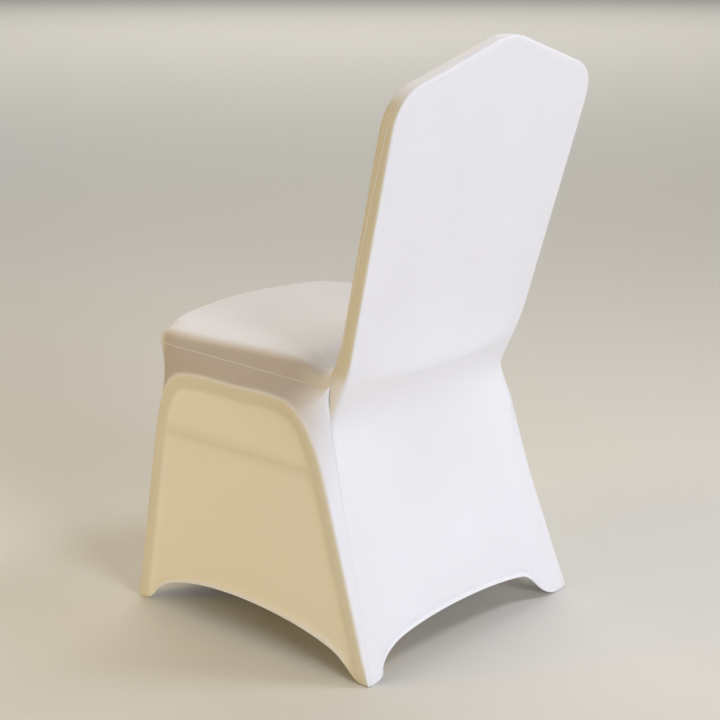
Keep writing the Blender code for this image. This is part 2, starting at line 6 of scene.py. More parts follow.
import bpy
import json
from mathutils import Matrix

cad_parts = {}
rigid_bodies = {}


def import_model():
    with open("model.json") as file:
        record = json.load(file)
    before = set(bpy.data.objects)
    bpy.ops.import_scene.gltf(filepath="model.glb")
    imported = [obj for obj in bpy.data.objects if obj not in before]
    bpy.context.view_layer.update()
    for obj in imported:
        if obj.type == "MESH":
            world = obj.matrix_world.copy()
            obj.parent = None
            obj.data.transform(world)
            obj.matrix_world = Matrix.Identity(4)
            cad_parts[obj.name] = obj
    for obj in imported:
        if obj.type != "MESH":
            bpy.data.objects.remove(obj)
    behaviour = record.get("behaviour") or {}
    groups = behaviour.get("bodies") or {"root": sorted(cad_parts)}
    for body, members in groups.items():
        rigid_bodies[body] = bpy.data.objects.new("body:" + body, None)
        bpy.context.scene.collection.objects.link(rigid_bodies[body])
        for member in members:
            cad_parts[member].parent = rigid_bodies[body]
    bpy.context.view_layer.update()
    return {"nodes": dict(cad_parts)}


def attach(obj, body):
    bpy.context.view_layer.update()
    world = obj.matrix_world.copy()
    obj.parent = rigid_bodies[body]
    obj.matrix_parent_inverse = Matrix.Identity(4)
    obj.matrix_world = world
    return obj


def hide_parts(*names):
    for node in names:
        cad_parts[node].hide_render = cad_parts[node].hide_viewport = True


for leftover in list(bpy.data.objects):
    bpy.data.objects.remove(leftover)
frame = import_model()
print("packed nodes:", ", ".join(sorted(frame["nodes"])))

# %% [markdown]
# The tools of the lesson are Blender's own modules and numpy. A panel is a net of points, and
# numpy moves a whole net at once, where a loop over points would be slow.

# %% Modules
import json

import numpy as np
from mathutils import Matrix

# %% [markdown]
# The sizes are the cover's own, in metres, measured from the floor. The cloth is drawn 1.5 mm
# thick, as its solids are. The backrest leans back, the rear legs rake backwards and the front legs
# rake forwards, so every panel hangs between slanting lines.

# %% Sizes
# Cloth
CLOTH = 0.0015
HEM_THICKNESS = 0.0026
HEM_SHARE = 0.016
HEM_PROUD = 0.0006
FOOT_ROUND = 0.0060
FOOT_ROUND_HEIGHT = 0.013
FOOT_LIFT = 0.0062
WEB_LIFT = 0.25
FOOT_WRINKLE = 0.0003
SEAM_GAP = 0.0003

# Backrest: its rear face leans back, and its outline is a crown over two rounded shoulders
CROWN_HEIGHT = 0.920
CROWN_ROUNDING = 0.110
CROWN_CORNER_RISE = 0.04
MOUNT_DEPTH = 0.002
SHOULDER_HALF_WIDTH = 0.228
SHOULDER_HEIGHT = 0.853
SHOULDER_ROUNDING = 0.064
WAIST_HALF_WIDTH = 0.2035
WAIST_HEIGHT = 0.424
WAIST_DEPTH = -0.0815
BACK_LEAN = 0.2694
BACKREST_THICKNESS = 0.026
BORDER_WIDTH = 0.030

# The lower legs: how far each leans for every metre of height
REAR_LEG_RAKE = -0.363
FRONT_LEG_RAKE = 0.124
LEG_FLARE = -0.067
REAR_FOOT_HALF_WIDTH = 0.248
FRONT_FOOT_HALF_WIDTH = 0.2395
FRONT_FOOT_DEPTH = -0.504
FOOT_WIDTH = 0.028
POCKET_HEIGHT = 0.034
POCKET_ROUNDING = 0.006

# Hem arches
REAR_HEM_HEIGHT = 0.0556
FRONT_HEM_HEIGHT = 0.058
SIDE_HEM_HEIGHT = 0.062
SQUARE_ARCH = 0.30
ROUND_ARCH = 0.45
SIDE_ARCH_SKEW = 0.10
SIDE_ARCH_REAR = -0.030
SIDE_ARCH_FRONT = -0.472

# Where stretched cloth spans a hollow, rises over the seat or bows forward
WAIST_SPAN = 0.020
WAIST_SHARE = 0.055
SEAT_CROWN = 0.005
FRONT_BOW = 0.017

# How far the shapes of a panel's top and hem reach into it
BACKREST_TOP_REACH = 0.16
SIDE_TOP_REACH = 0.10
HEM_REACH = 0.20

# Edge roundings
BACKREST_EDGE = 0.0055
SEAT_EDGE = 0.016
FRAME_EDGE = 0.012
FRAME_INSET = 0.014
SOFT_EDGE = 0.010
SEAM_FOLD = 0.0
SEAM_FEEL = 0.002
LONGEST_CUT = 0.45

# How finely the curves are cut
LEG_STEPS = 44
SEAT_STEPS = 44
UPRIGHT_STEPS = 40
CROWN_STEPS = 64
BORDER_STEPS = 14
POCKET_STEPS = 10
POCKET_CORNER_STEPS = 8
FINE = 13
BEND_WEIGHT = 0.020
SAME_POINT = 1e-6
EDGE_CROWDING = 0.80
TOP_CROWDING = 1.35

# %% [markdown]
# Each panel ends on a line where the stretched cloth turns. The lines are short tables of points on
# the right-hand side, each with its place across, its depth and its height. A smooth curve runs
# through each table. The first set runs from the waist, where three seams meet, down to the rear
# foot.

# %% Lines of the rear leg
REAR_FLAT = (
    (0.1745, -0.0825, 0.424), (0.173, -0.094, 0.402), (0.17, -0.101, 0.38),
    (0.166, -0.1025, 0.36), (0.165, -0.099, 0.33), (0.17, -0.087, 0.27),
    (0.178, -0.071, 0.2), (0.193, -0.0363, 0.1), (0.214, 0.0, 0.0),
)
REAR_EDGE = (
    (0.204, -0.0825, 0.424), (0.204, -0.095, 0.403), (0.202, -0.106, 0.386),
    (0.195, -0.1085, 0.37), (0.19, -0.106, 0.352), (0.19, -0.1, 0.325),
    (0.194, -0.0885, 0.27), (0.199, -0.072, 0.2), (0.211, -0.0363, 0.1),
    (0.228, 0.0, 0.0),
)
REAR_SEAM = (
    (0.203, -0.112, 0.424), (0.2015, -0.117, 0.405), (0.2015, -0.116, 0.388),
    (0.203, -0.112, 0.37), (0.204, -0.1085, 0.3555), (0.207, -0.0995, 0.326),
    (0.2085, -0.0845, 0.2505), (0.2115, -0.069, 0.193), (0.218, -0.049, 0.137),
    (0.231, -0.0212, 0.0585), (0.241, 0.0, 0.0),
)
REAR_LEG = (
    (0.2299, -0.1557, 0.382), (0.2299, -0.14, 0.3657), (0.2301, -0.1236, 0.3388),
    (0.2308, -0.1112, 0.3136), (0.2317, -0.0991, 0.2788), (0.2346, -0.0726, 0.2),
    (0.2413, -0.0363, 0.1), (0.248, 0.0, 0.0),
)

# %% [markdown]
# From the waist the seat's side runs forward to its front corner. The flat, the rounded side
# edge, the seam and the ridge over the side lie one outside the other.

# %% Lines of the seat
SEAT_FLAT = (
    (0.172, -0.115, 0.44), (0.166, -0.137, 0.435), (0.16, -0.16, 0.442),
    (0.158, -0.185, 0.4505), (0.159, -0.215, 0.453), (0.167, -0.33, 0.4545),
    (0.1755, -0.405, 0.4575), (0.177, -0.445, 0.458),
)
SEAT_SIDE_EDGE = (
    (0.201, -0.113, 0.433), (0.195, -0.134, 0.4295), (0.189, -0.155, 0.433),
    (0.187, -0.177, 0.443), (0.1885, -0.205, 0.448), (0.199, -0.32, 0.451),
    (0.208, -0.405, 0.453), (0.2105, -0.438, 0.453), (0.206, -0.4665, 0.451),
)
SEAT_SEAM = (
    (0.203, -0.112, 0.424), (0.199, -0.14, 0.4175), (0.195, -0.17, 0.416),
    (0.1955, -0.2, 0.417), (0.2035, -0.3, 0.4225), (0.212, -0.4, 0.4275),
    (0.2145, -0.433, 0.429), (0.2115, -0.461, 0.4295),
)
RAIL = (
    (0.2299, -0.1557, 0.382), (0.2274, -0.176, 0.39), (0.2243, -0.2029, 0.3927),
    (0.2179, -0.2987, 0.3905), (0.2165, -0.39, 0.389), (0.2165, -0.42, 0.384),
    (0.2165, -0.439, 0.372),
)

# %% [markdown]
# From the front corner the apron's edge runs down to the front foot. Its upper part draws in
# under the seat, because nothing holds the cloth out there.

# %% Lines of the front leg
APRON_FLAT = (
    (0.177, -0.445, 0.458), (0.176, -0.478, 0.4555), (0.17, -0.483, 0.434),
    (0.165, -0.474, 0.395), (0.167, -0.471, 0.35), (0.178, -0.476, 0.28),
    (0.19, -0.486, 0.15), (0.206, -0.504, 0.0),
)
APRON_EDGE = (
    (0.206, -0.4665, 0.451), (0.1985, -0.476, 0.436), (0.1905, -0.469, 0.405),
    (0.187, -0.4645, 0.37), (0.19, -0.4675, 0.335), (0.197, -0.473, 0.285),
    (0.206, -0.4855, 0.15), (0.217, -0.504, 0.0),
)
APRON_SEAM = (
    (0.2115, -0.461, 0.4295), (0.2055, -0.458, 0.4), (0.2015, -0.457, 0.37),
    (0.2045, -0.4635, 0.335), (0.2105, -0.4705, 0.285), (0.2185, -0.4855, 0.15),
    (0.229, -0.504, 0.0),
)
FRONT_LEG = (
    (0.2165, -0.439, 0.372), (0.217, -0.451, 0.354), (0.218, -0.46, 0.333),
    (0.22, -0.4665, 0.305), (0.2225, -0.4705, 0.27), (0.229, -0.4845, 0.16),
    (0.2345, -0.4945, 0.075), (0.2395, -0.504, 0.0),
)

# %% [markdown]
# The seam over the backrest isn't straight on the real cover. It wanders from the edge band to
# the rear face and back, further on the far slope than on the near one. Each pair in the table
# gives a share of the way over the crown, and how far the seam is off the rear edge there.

# %% Wander of the back seam
BACK_SEAM_DRIFT = (
    (0.0, 0.021), (0.1, 0.021), (0.22, 0.015), (0.3, 0.01), (0.34, 0.003),
    (0.38, -0.003), (0.48, -0.006), (0.55, -0.014), (0.635, -0.011), (0.68, 0.003),
    (0.78, 0.015), (0.9, 0.021), (1.0, 0.021),
)

MIRROR = np.array([-1.0, 1.0, 1.0])
CORE = np.array([0.0, -0.20, 0.35])
SHOULDER_OUTWARD = np.array([1.0, 0.0, 0.45])
REAR_FACE_DEPTH_AT_FLOOR = WAIST_DEPTH - BACK_LEAN * WAIST_HEIGHT
ORIGIN = np.array(
    [
        0.0,
        REAR_FACE_DEPTH_AT_FLOOR + BACK_LEAN * CROWN_HEIGHT - BACKREST_THICKNESS / 2,
        CROWN_HEIGHT - MOUNT_DEPTH,
    ]
)

# %% [markdown]
# Small helpers measure and cut curves. A path is a net of points in a row. One helper gives the
# way along it, one cuts it at given distances, and one crowds cuts together at both ends, where the
# cloth turns a corner.

# %% Helpers for paths
def unit(vector):
    return vector / np.linalg.norm(vector)


def along(path):
    """How far each point of a path lies from its start."""
    return np.concatenate([[0.0], np.cumsum(np.linalg.norm(np.diff(path, axis=0), axis=1))])


def sample(path, distances, lengths=None):
    """Points of a path at the given distances along it, or along another path's lengths."""
    lengths = along(path) if lengths is None else lengths
    return np.stack([np.interp(distances, lengths, path[:, axis]) for axis in range(3)], axis=1)


def crowded(steps):
    """Fractions from 0 to 1 that crowd together at both ends."""
    across = np.linspace(-1.0, 1.0, steps + 1) * np.pi / 2 * EDGE_CROWDING
    return 0.5 + 0.5 * np.sin(across) / np.sin(np.pi / 2 * EDGE_CROWDING)

# %% [markdown]
# A table becomes a curve by cubic pieces whose slopes agree at the table's points. Blender's
# own curves could do this as well, but here the same stations have to be cut on several lines, and
# numpy keeps them in step.

# %% Smooth and rounded paths
def smooth_path(table):
    """A fine smooth curve through a table of points."""
    knots = np.array(table, dtype=float)
    lengths = along(knots)
    slopes = np.gradient(knots, lengths, axis=0)
    path = []
    for start, end, slope, next_slope, chord in zip(
        knots, knots[1:], slopes, slopes[1:], np.diff(lengths)
    ):
        t = np.linspace(0.0, 1.0, FINE, endpoint=False)[:, None]
        path.append(
            (2 * t**3 - 3 * t**2 + 1) * start
            + (t**3 - 2 * t**2 + t) * chord * slope
            + (3 * t**2 - 2 * t**3) * end
            + (t**3 - t**2) * chord * next_slope
        )
    return np.concatenate(path + [knots[-1:]])


def stations(table, fractions):
    """Points of a table's smooth curve at fractions of its length."""
    path = smooth_path(table)
    return sample(path, fractions * along(path)[-1])


def rounded_path(corners, radii):
    """A path through its corners, each inner one rounded by its radius."""
    points = [corners[0]]
    for before, corner, after, radius in zip(corners, corners[1:], corners[2:], radii):
        if radius == 0.0:
            points.append(corner)
            continue
        back, ahead = before - corner, after - corner
        turn = np.arccos(np.clip(unit(back) @ unit(ahead), -1.0, 1.0))
        cut = radius / np.tan(turn / 2)
        cut = min(cut, LONGEST_CUT * np.linalg.norm(back), LONGEST_CUT * np.linalg.norm(ahead))
        start, end = corner + unit(back) * cut, corner + unit(ahead) * cut
        for t in np.linspace(0.0, 1.0, FINE):
            points.append((1 - t) ** 2 * start + 2 * t * (1 - t) * corner + t**2 * end)
    points.append(corners[-1])
    path = np.array(points)
    apart = np.linalg.norm(np.diff(path, axis=0), axis=1) > SAME_POINT
    return path[np.append(True, apart)]

# %% [markdown]
# The backrest is a flat leaning face with a pointed crown and rounded shoulders. Its outline is
# drawn on the face, and an inset line gives where the panel's flat middle ends.

# %% Outline of the backrest
def rear_face(across_and_height):
    """Points of the leaning rear face, from their place across and their height."""
    across, height = across_and_height[..., 0], across_and_height[..., 1]
    return np.stack([across, REAR_FACE_DEPTH_AT_FLOOR + BACK_LEAN * height, height], axis=-1)


def backrest_outline():
    """The backrest's rear edge, from the right waist up to the shoulder and over to the left."""
    waist = np.array([WAIST_HALF_WIDTH, WAIST_HEIGHT])
    shoulder = np.array([SHOULDER_HALF_WIDTH, SHOULDER_HEIGHT])
    crown = np.array([0.0, CROWN_HEIGHT + CROWN_ROUNDING * CROWN_CORNER_RISE])
    flip = np.array([-1.0, 1.0])
    corners = [waist, shoulder, crown, shoulder * flip, waist * flip]
    radii = [SHOULDER_ROUNDING, CROWN_ROUNDING, SHOULDER_ROUNDING]
    return rear_face(rounded_path(corners, radii))


def inset(edge, width):
    """A line on the backrest's face, inside its edge by a width."""
    lean = unit(np.array([0.0, BACK_LEAN, 1.0]))
    across = np.array([1.0, 0.0, 0.0])
    ahead = np.gradient(edge, axis=0)
    ahead /= np.linalg.norm(ahead, axis=1)[:, None]
    inward = (ahead @ lean)[:, None] * -across + (ahead @ across)[:, None] * lean
    return edge + inward * width


def nearest_distance(path, point):
    """How far along a path its nearest point to a given one is."""
    return along(path)[np.argmin(np.linalg.norm(path - point, axis=1))]


def spread(path, start, end, steps):
    """Distances along a path from start to end, closer together where the path bends."""
    lengths = along(path)
    ahead = np.diff(path, axis=0)
    ahead /= np.linalg.norm(ahead, axis=1)[:, None]
    turns = np.arccos(np.clip((ahead[1:] * ahead[:-1]).sum(axis=1), -1.0, 1.0))
    effort = lengths + BEND_WEIGHT * np.concatenate([[0.0], np.cumsum(turns), [turns.sum()]])
    ends = np.interp([start, end], lengths, effort)
    return np.interp(np.linspace(*ends, steps + 1), effort, lengths)

# %% [markdown]
# Two panels meet on a rounded edge. For each station along a seam the whole cross-section over
# that edge is drawn once, and the seam cuts it in two. So both panels always meet exactly, with a
# fine gap between them, whatever the edge does.

# %% Seams between panels
class Seam:
    """Two panels' shared seam: at each station, the cross-section over the edge they meet on."""

    def __init__(self, controls, radii, cuts=None):
        self.profiles = [rounded_path(list(row), radii) for row in controls]
        if cuts is None:
            cuts = [nearest_distance(path, row[2]) for path, row in zip(self.profiles, controls)]
        self.cuts = np.array(cuts)
        self.points = np.array(
            [sample(p, np.array([cut]))[0] for p, cut in zip(self.profiles, self.cuts)]
        )
        self.normals = self.find_normals()

    def find_normals(self):
        """The cloth's outward direction at each station."""
        ahead = np.gradient(self.points, axis=0)
        normals = []
        for profile, cut, point, forward in zip(self.profiles, self.cuts, self.points, ahead):
            before, after = sample(profile, np.array([cut - SEAM_FEEL, cut + SEAM_FEEL]))
            normal = unit(np.cross(after - before, forward))
            normals.append(normal * np.sign(normal @ (point - CORE)))
        return np.array(normals)

    def mirrored(self):
        """The same seam on the left-hand side."""
        other = object.__new__(Seam)
        other.profiles = [profile * MIRROR for profile in self.profiles]
        other.cuts = self.cuts
        other.points = self.points * MIRROR
        other.normals = self.normals * MIRROR
        return other

    def border(self, panel, steps):
        """One panel's border at each station, from its flat edge out to the seam."""
        rows = []
        for profile, cut in zip(self.profiles, self.cuts):
            if panel == "first":
                distances = spread(profile, 0.0, cut - SEAM_GAP / 2, steps)
            else:
                distances = spread(profile, along(profile)[-1], cut + SEAM_GAP / 2, steps)
            rows.append(sample(profile, distances))
        return np.array(rows)


def smoothstep(low, high, value):
    t = np.clip((value - low) / (high - low), 0.0, 1.0)
    return t * t * (3 - 2 * t)

# %% [markdown]
# The seam between back and front runs from the right waist over the crown to the left waist.
# Near the waist its front side turns forward on to the seat.

# %% Seam over the backrest
def turn_to_seat(line, share, place):
    """Turns both ends of a line over to a place at the waist, and to its mirror image."""
    for at, end, sign in ((0, share, 1.0), (-1, 1.0 - share, -1.0)):
        near = 1.0 - smoothstep(0.0, WAIST_SHARE, end)
        line += near[:, None] * (np.array(place) * (sign, 1.0, 1.0) - line[at])


def back_seam():
    """The seam between back and front, from the right waist over the crown to the left waist."""
    outline = backrest_outline()
    lengths = along(outline)
    shoulder = lengths[np.argmax(outline @ SHOULDER_OUTWARD)]
    upright = np.linspace(0.0, shoulder, UPRIGHT_STEPS + 1)
    crown = shoulder + crowded(CROWN_STEPS) * (lengths[-1] - 2 * shoulder)
    distances = np.concatenate([upright[:-1], crown, lengths[-1] - upright[::-1][1:]])
    share = distances / lengths[-1]
    forward = np.array([0.0, -BACKREST_THICKNESS, 0.0])
    rear_edge = sample(outline, distances)
    rear_flat = sample(inset(outline, BORDER_WIDTH), distances, lengths)
    front_edge, front_flat = rear_edge + forward, rear_flat + forward
    turn_to_seat(front_flat, share, SEAT_FLAT[0])
    turn_to_seat(front_edge, share, SEAT_SIDE_EDGE[0])
    between = (rear_edge + front_edge) / 2
    turn_to_seat(between, share, REAR_SEAM[0])
    controls = np.stack([rear_flat, rear_edge, between, front_edge, front_flat], axis=1)
    radii = (BACKREST_EDGE, SEAM_FOLD, BACKREST_EDGE)
    offsets = np.interp(share, *np.array(BACK_SEAM_DRIFT).T)
    cuts = []
    for row, part, offset in zip(controls, share, offsets):
        profile = rounded_path(list(row), radii)
        wanted = nearest_distance(profile, row[1]) + offset
        middle = nearest_distance(profile, row[2])
        at_waist = 1.0 - smoothstep(0.0, WAIST_SHARE, min(part, 1.0 - part))
        cuts.append(wanted + at_waist * (middle - wanted))
    return Seam(controls, radii, cuts)

# %% [markdown]
# Below the waist there are three seams on each side: down the rear leg, forward along the seat
# and down the front leg. Close rows at the foot of each leg give the hem its own band.

# %% Seams below the waist
def side_flat(leg, centre_depth, centre_height):
    """The side panel's flat edge, inside the ridge line by the rounding of the ridge."""
    ahead = np.gradient(leg, axis=0)
    ahead /= np.linalg.norm(ahead, axis=1)[:, None]
    target = leg.copy()
    target[:, 1] = np.clip(leg[:, 1], centre_depth[0], centre_depth[1])
    target[:, 2] = np.minimum(leg[:, 2], centre_height)
    hint = target - leg
    inward = hint - (hint * ahead).sum(axis=1)[:, None] * ahead
    inward /= np.linalg.norm(inward, axis=1)[:, None]
    return leg + inward * FRAME_INSET


HEM_ROWS = np.array([0.93, 0.80, 0.50, 0.20, 0.07, 0.0])
SIDE_CENTRE_DEPTHS = (-0.42, -0.19)
SIDE_CENTRE_HEIGHT = 0.33


def lower_seams():
    """The right-hand seams of rear leg, seat side and front leg, and the ridge over the side."""
    above = np.linspace(0.0, 1.0, LEG_STEPS - len(HEM_ROWS) + 1) ** TOP_CROWDING
    leg_share = np.concatenate([above * (1.0 - HEM_SHARE), 1.0 - HEM_SHARE * HEM_ROWS])
    seat_share = crowded(SEAT_STEPS)
    ridge = np.concatenate(
        [
            stations(REAR_LEG, leg_share)[::-1],
            stations(RAIL, seat_share)[1:],
            stations(FRONT_LEG, leg_share)[1:],
        ]
    )
    flat = side_flat(ridge, SIDE_CENTRE_DEPTHS, SIDE_CENTRE_HEIGHT)
    waist, corner = LEG_STEPS, LEG_STEPS + SEAT_STEPS
    seams = []
    for tables, share, part, edge in (
        ((REAR_FLAT, REAR_EDGE, REAR_SEAM), leg_share, slice(waist, None, -1), BACKREST_EDGE),
        ((SEAT_FLAT, SEAT_SIDE_EDGE, SEAT_SEAM), seat_share, slice(waist, corner + 1), SEAT_EDGE),
        ((APRON_FLAT, APRON_EDGE, APRON_SEAM), leg_share, slice(corner, None), SOFT_EDGE),
    ):
        controls = [stations(table, share) for table in tables] + [ridge[part], flat[part]]
        seams.append(Seam(np.stack(controls, axis=1), (edge, SEAM_FOLD, FRAME_EDGE)))
    return *seams, ridge

# %% [markdown]
# A panel is one net: its grid in the middle and a border round three sides. The grid's columns
# follow its top and its rows follow its two side lines, as a tailor's blocks do.

# %% Grid of a panel
def assemble(pieces, side_steps):
    """A panel's border and seam normals, from its right-hand foot over its top to its left.

    Each piece is a seam, the panel's name in it, and whether the way along it is reversed.
    """
    borders, normals = [], []
    for seam, panel, reverse in pieces:
        border, normal = seam.border(panel, BORDER_STEPS), seam.normals
        if reverse:
            border, normal = border[::-1], normal[::-1]
        skip = 1 if borders else 0
        borders.append(border[skip:])
        normals.append(normal[skip:])
    borders, normals = np.concatenate(borders), np.concatenate(normals)
    flat = borders[:, 0]
    right, left = flat[: side_steps + 1], flat[-1 : -side_steps - 2 : -1]
    top = flat[side_steps : len(flat) - side_steps]
    return borders, normals, right, left, top


def span(right, left, top, hem, top_reach=BACKREST_TOP_REACH):
    """A grid of cloth between its two sides, its hem and its top; rows run from the hem up."""
    share = (along(top) / along(top)[-1])[None, :, None]
    grid = right[:, None] * (1 - share) + left[:, None] * share
    height = along(right)[:, None, None]
    near_top = 1.0 - smoothstep(0.0, top_reach, height[-1] - height)
    near_hem = 1.0 - smoothstep(0.0, HEM_REACH, height)
    return grid + near_top * (top - grid[-1]) + near_hem * (hem - grid[0])

# %% [markdown]
# Every mesh is made by one helper, straight from its points and faces. It puts the piece in the
# part's frame, whose origin is under the crown, and writes the map in metres as a UV map. Marks are
# plain attributes that a material can read by name.

# %% Meshes, maps and marks
SHARP_ANGLE = np.radians(60)
def quad_area(points, quads):
    a, b, c, d = (points[quads[:, corner]] for corner in range(4))
    return float(np.linalg.norm(np.cross(c - a, d - b), axis=1).sum() / 2)


def store(mesh, name, values):
    """Writes one number for each point of a mesh, under a name."""
    attribute = mesh.attributes.new(name, "FLOAT", "POINT")
    attribute.data.foreach_set("value", np.asarray(values, dtype=np.float32))


def mesh_object(name, points, faces, flat_map):
    """A smooth mesh object at the origin, with its place in its mesh."""
    mesh = bpy.data.meshes.new(name)
    mesh.from_pydata((points - ORIGIN).tolist(), [], faces)
    mesh.shade_smooth()
    mesh.set_sharp_from_angle(angle=SHARP_ANGLE)
    loops = np.empty(len(mesh.loops), dtype=np.int32)
    mesh.loops.foreach_get("vertex_index", loops)
    uv_map = mesh.uv_layers.new(name="cloth_map")
    uv_map.data.foreach_set("uv", flat_map[loops].astype(np.float32).ravel())
    obj = bpy.data.objects.new(name, mesh)
    bpy.context.scene.collection.objects.link(obj)
    return obj

# %% [markdown]
# A net needs its quads and its layers numbered, and a flat map. The map is in metres, across and
# along the cloth, so the knit has one scale all over the cover.

# %% Numbers and map of a net
def net_quads(grid, borders):
    """The quads of a net, the layers of its rim, and the numbers of its grid."""
    rows, columns = grid.shape[:2]
    number = np.arange(rows * columns).reshape(rows, columns)
    blocks = [number[:-1, :-1], number[:-1, 1:], number[1:, 1:], number[1:, :-1]]
    quads = [np.stack(blocks, axis=-1).reshape(-1, 4)]
    rim = np.concatenate([number[:, 0], number[-1, 1:], number[-2::-1, -1]])
    layers = [rim]
    for layer in range(1, borders.shape[1]):
        start = rows * columns + (layer - 1) * len(rim)
        layers.append(np.arange(start, start + len(rim)))
    for before, after in zip(layers, layers[1:]):
        quads.append(np.stack([before[:-1], before[1:], after[1:], after[:-1]], axis=1))
    return np.concatenate(quads), layers, number


def net_map(grid, borders):
    """A flat map of the net, in metres across and along the cloth."""
    rows, columns = grid.shape[:2]
    along_cloth = np.broadcast_to(along(grid[:, columns // 2])[:, None], (rows, columns))
    across_cloth = np.stack([along(row)[-1] / 2 - along(row) for row in grid])
    flat_map = np.stack([across_cloth, along_cloth], axis=-1)
    rim = np.concatenate([flat_map[:, 0], flat_map[-1, 1:], flat_map[-2::-1, -1]])
    ways = np.zeros_like(rim)
    ways[:rows] += (1.0, 0.0)
    ways[rows - 1 : rows - 1 + columns] += (0.0, 1.0)
    ways[rows - 2 + columns :] += (-1.0, 0.0)
    ways /= np.linalg.norm(ways, axis=1)[:, None]
    steps = np.linalg.norm(np.diff(borders, axis=1), axis=2).cumsum(axis=1)
    layers = [flat_map.reshape(-1, 2)]
    for layer in range(1, borders.shape[1]):
        layers.append(rim + ways * steps[:, layer - 1][:, None])
    return np.concatenate(layers)

# %% [markdown]
# One function makes a panel's net into cloth. It smooths the net near the waist and the seat's
# front corner, and finds each point's outward direction. It lets the hem stand a little proud,
# draws the cloth in at the seams and under the feet, and adds the panel's soft relief. Then it lays
# a second net inside to give the cloth its thickness. A Solidify modifier could do that too, but
# its edges would spread at the seams, where the two panels have to stay parallel.

# %% Rounded feet
FOOT_TUCK = 0.90
FOOT_LIFT_LIMIT = 1.25
WEB_DEPTH = -0.2


def near_side(points):
    """The points, with those on the left mirrored to the right-hand side."""
    return np.column_stack([np.abs(points[:, 0]), points[:, 1:]])


def foot_share(height):
    """How far down a foot's rounding a height is: 0 above it, and 1 at the floor."""
    return np.clip(1.0 - height / FOOT_ROUND_HEIGHT, 0.0, 1.0)


def foot_inset(height):
    """How far the cloth draws in under the foot, at a height above the floor."""
    return FOOT_ROUND * (1.0 - np.sqrt(1.0 - FOOT_TUCK * foot_share(height) ** 2))


def foot_lift(points):
    """How far the lowest cloth rises away from a foot's outer corner, to a rounded tip."""
    across, depth = np.abs(points[:, 0]), points[:, 1]
    to_rear = np.hypot(across - REAR_FOOT_HALF_WIDTH, depth)
    to_front = np.hypot(across - FRONT_FOOT_HALF_WIDTH, depth - FRONT_FOOT_DEPTH)
    away = np.clip(np.minimum(to_rear, to_front) / FOOT_WIDTH, 0.0, FOOT_LIFT_LIMIT)
    at_web = (points[:, 0] < 0) & (depth > WEB_DEPTH)
    return FOOT_LIFT * away**3 * foot_share(points[:, 2]) * np.where(at_web, WEB_LIFT, 1.0)

# %% Smoothing where seams meet
SETTLE = 0.5
SETTLE_REACH = 0.040
SETTLE_ROUNDS = 50
SETTLE_HEIGHTS = (0.436, 0.450)


def nearness(points, place, reach):
    """How near each point is to a place or its mirror image: 1 there, and fading with distance."""
    distance = np.linalg.norm(near_side(points) - place, axis=1)
    return np.exp(-((distance / reach) ** 2))


def settled(points, quads, held):
    """The points near the waist and the seat's corner, smoothed, with some held still."""
    starts, ends = quads.T.ravel(), np.roll(quads, -1, axis=1).T.ravel()
    starts, ends = np.concatenate([starts, ends]), np.concatenate([ends, starts])
    count = np.bincount(starts, minlength=len(points))[:, None]
    corner = nearness(points, seat.points[-1], SETTLE_REACH)
    corner *= smoothstep(*SETTLE_HEIGHTS, points[:, 2])
    waist = nearness(points, rear.points[0], SETTLE_REACH)
    share = SETTLE * np.maximum(waist, corner)[:, None]
    share[held] = 0.0
    points = points.copy()
    for _ in range(SETTLE_ROUNDS):
        total = np.zeros_like(points)
        np.add.at(total, starts, points[ends])
        points += share * (total / count - points)
    return points

# %% Outward directions
def outward_normals(points, quads, seam_points, seam_normals):
    """Each point's outward direction, with the shared one along the seam."""
    a, b, c, d = (points[quads[:, corner]] for corner in range(4))
    face_normals = np.cross(c - a, d - b)
    normals = np.zeros_like(points)
    for corner in range(4):
        np.add.at(normals, quads[:, corner], face_normals)
    normals /= np.linalg.norm(normals, axis=1)[:, None]
    facing = np.sign((normals[seam_points] * seam_normals).sum())
    normals *= facing
    normals[seam_points] = seam_normals
    return normals, facing

# %% From net to cloth
SEAM_DRAW_IN = 0.0003
SEAM_LAYERS = 2
WAIST_DRAW_IN = 1.6
WAIST_DRAW_REACH = 0.07
HEM_EDGE = 0.45


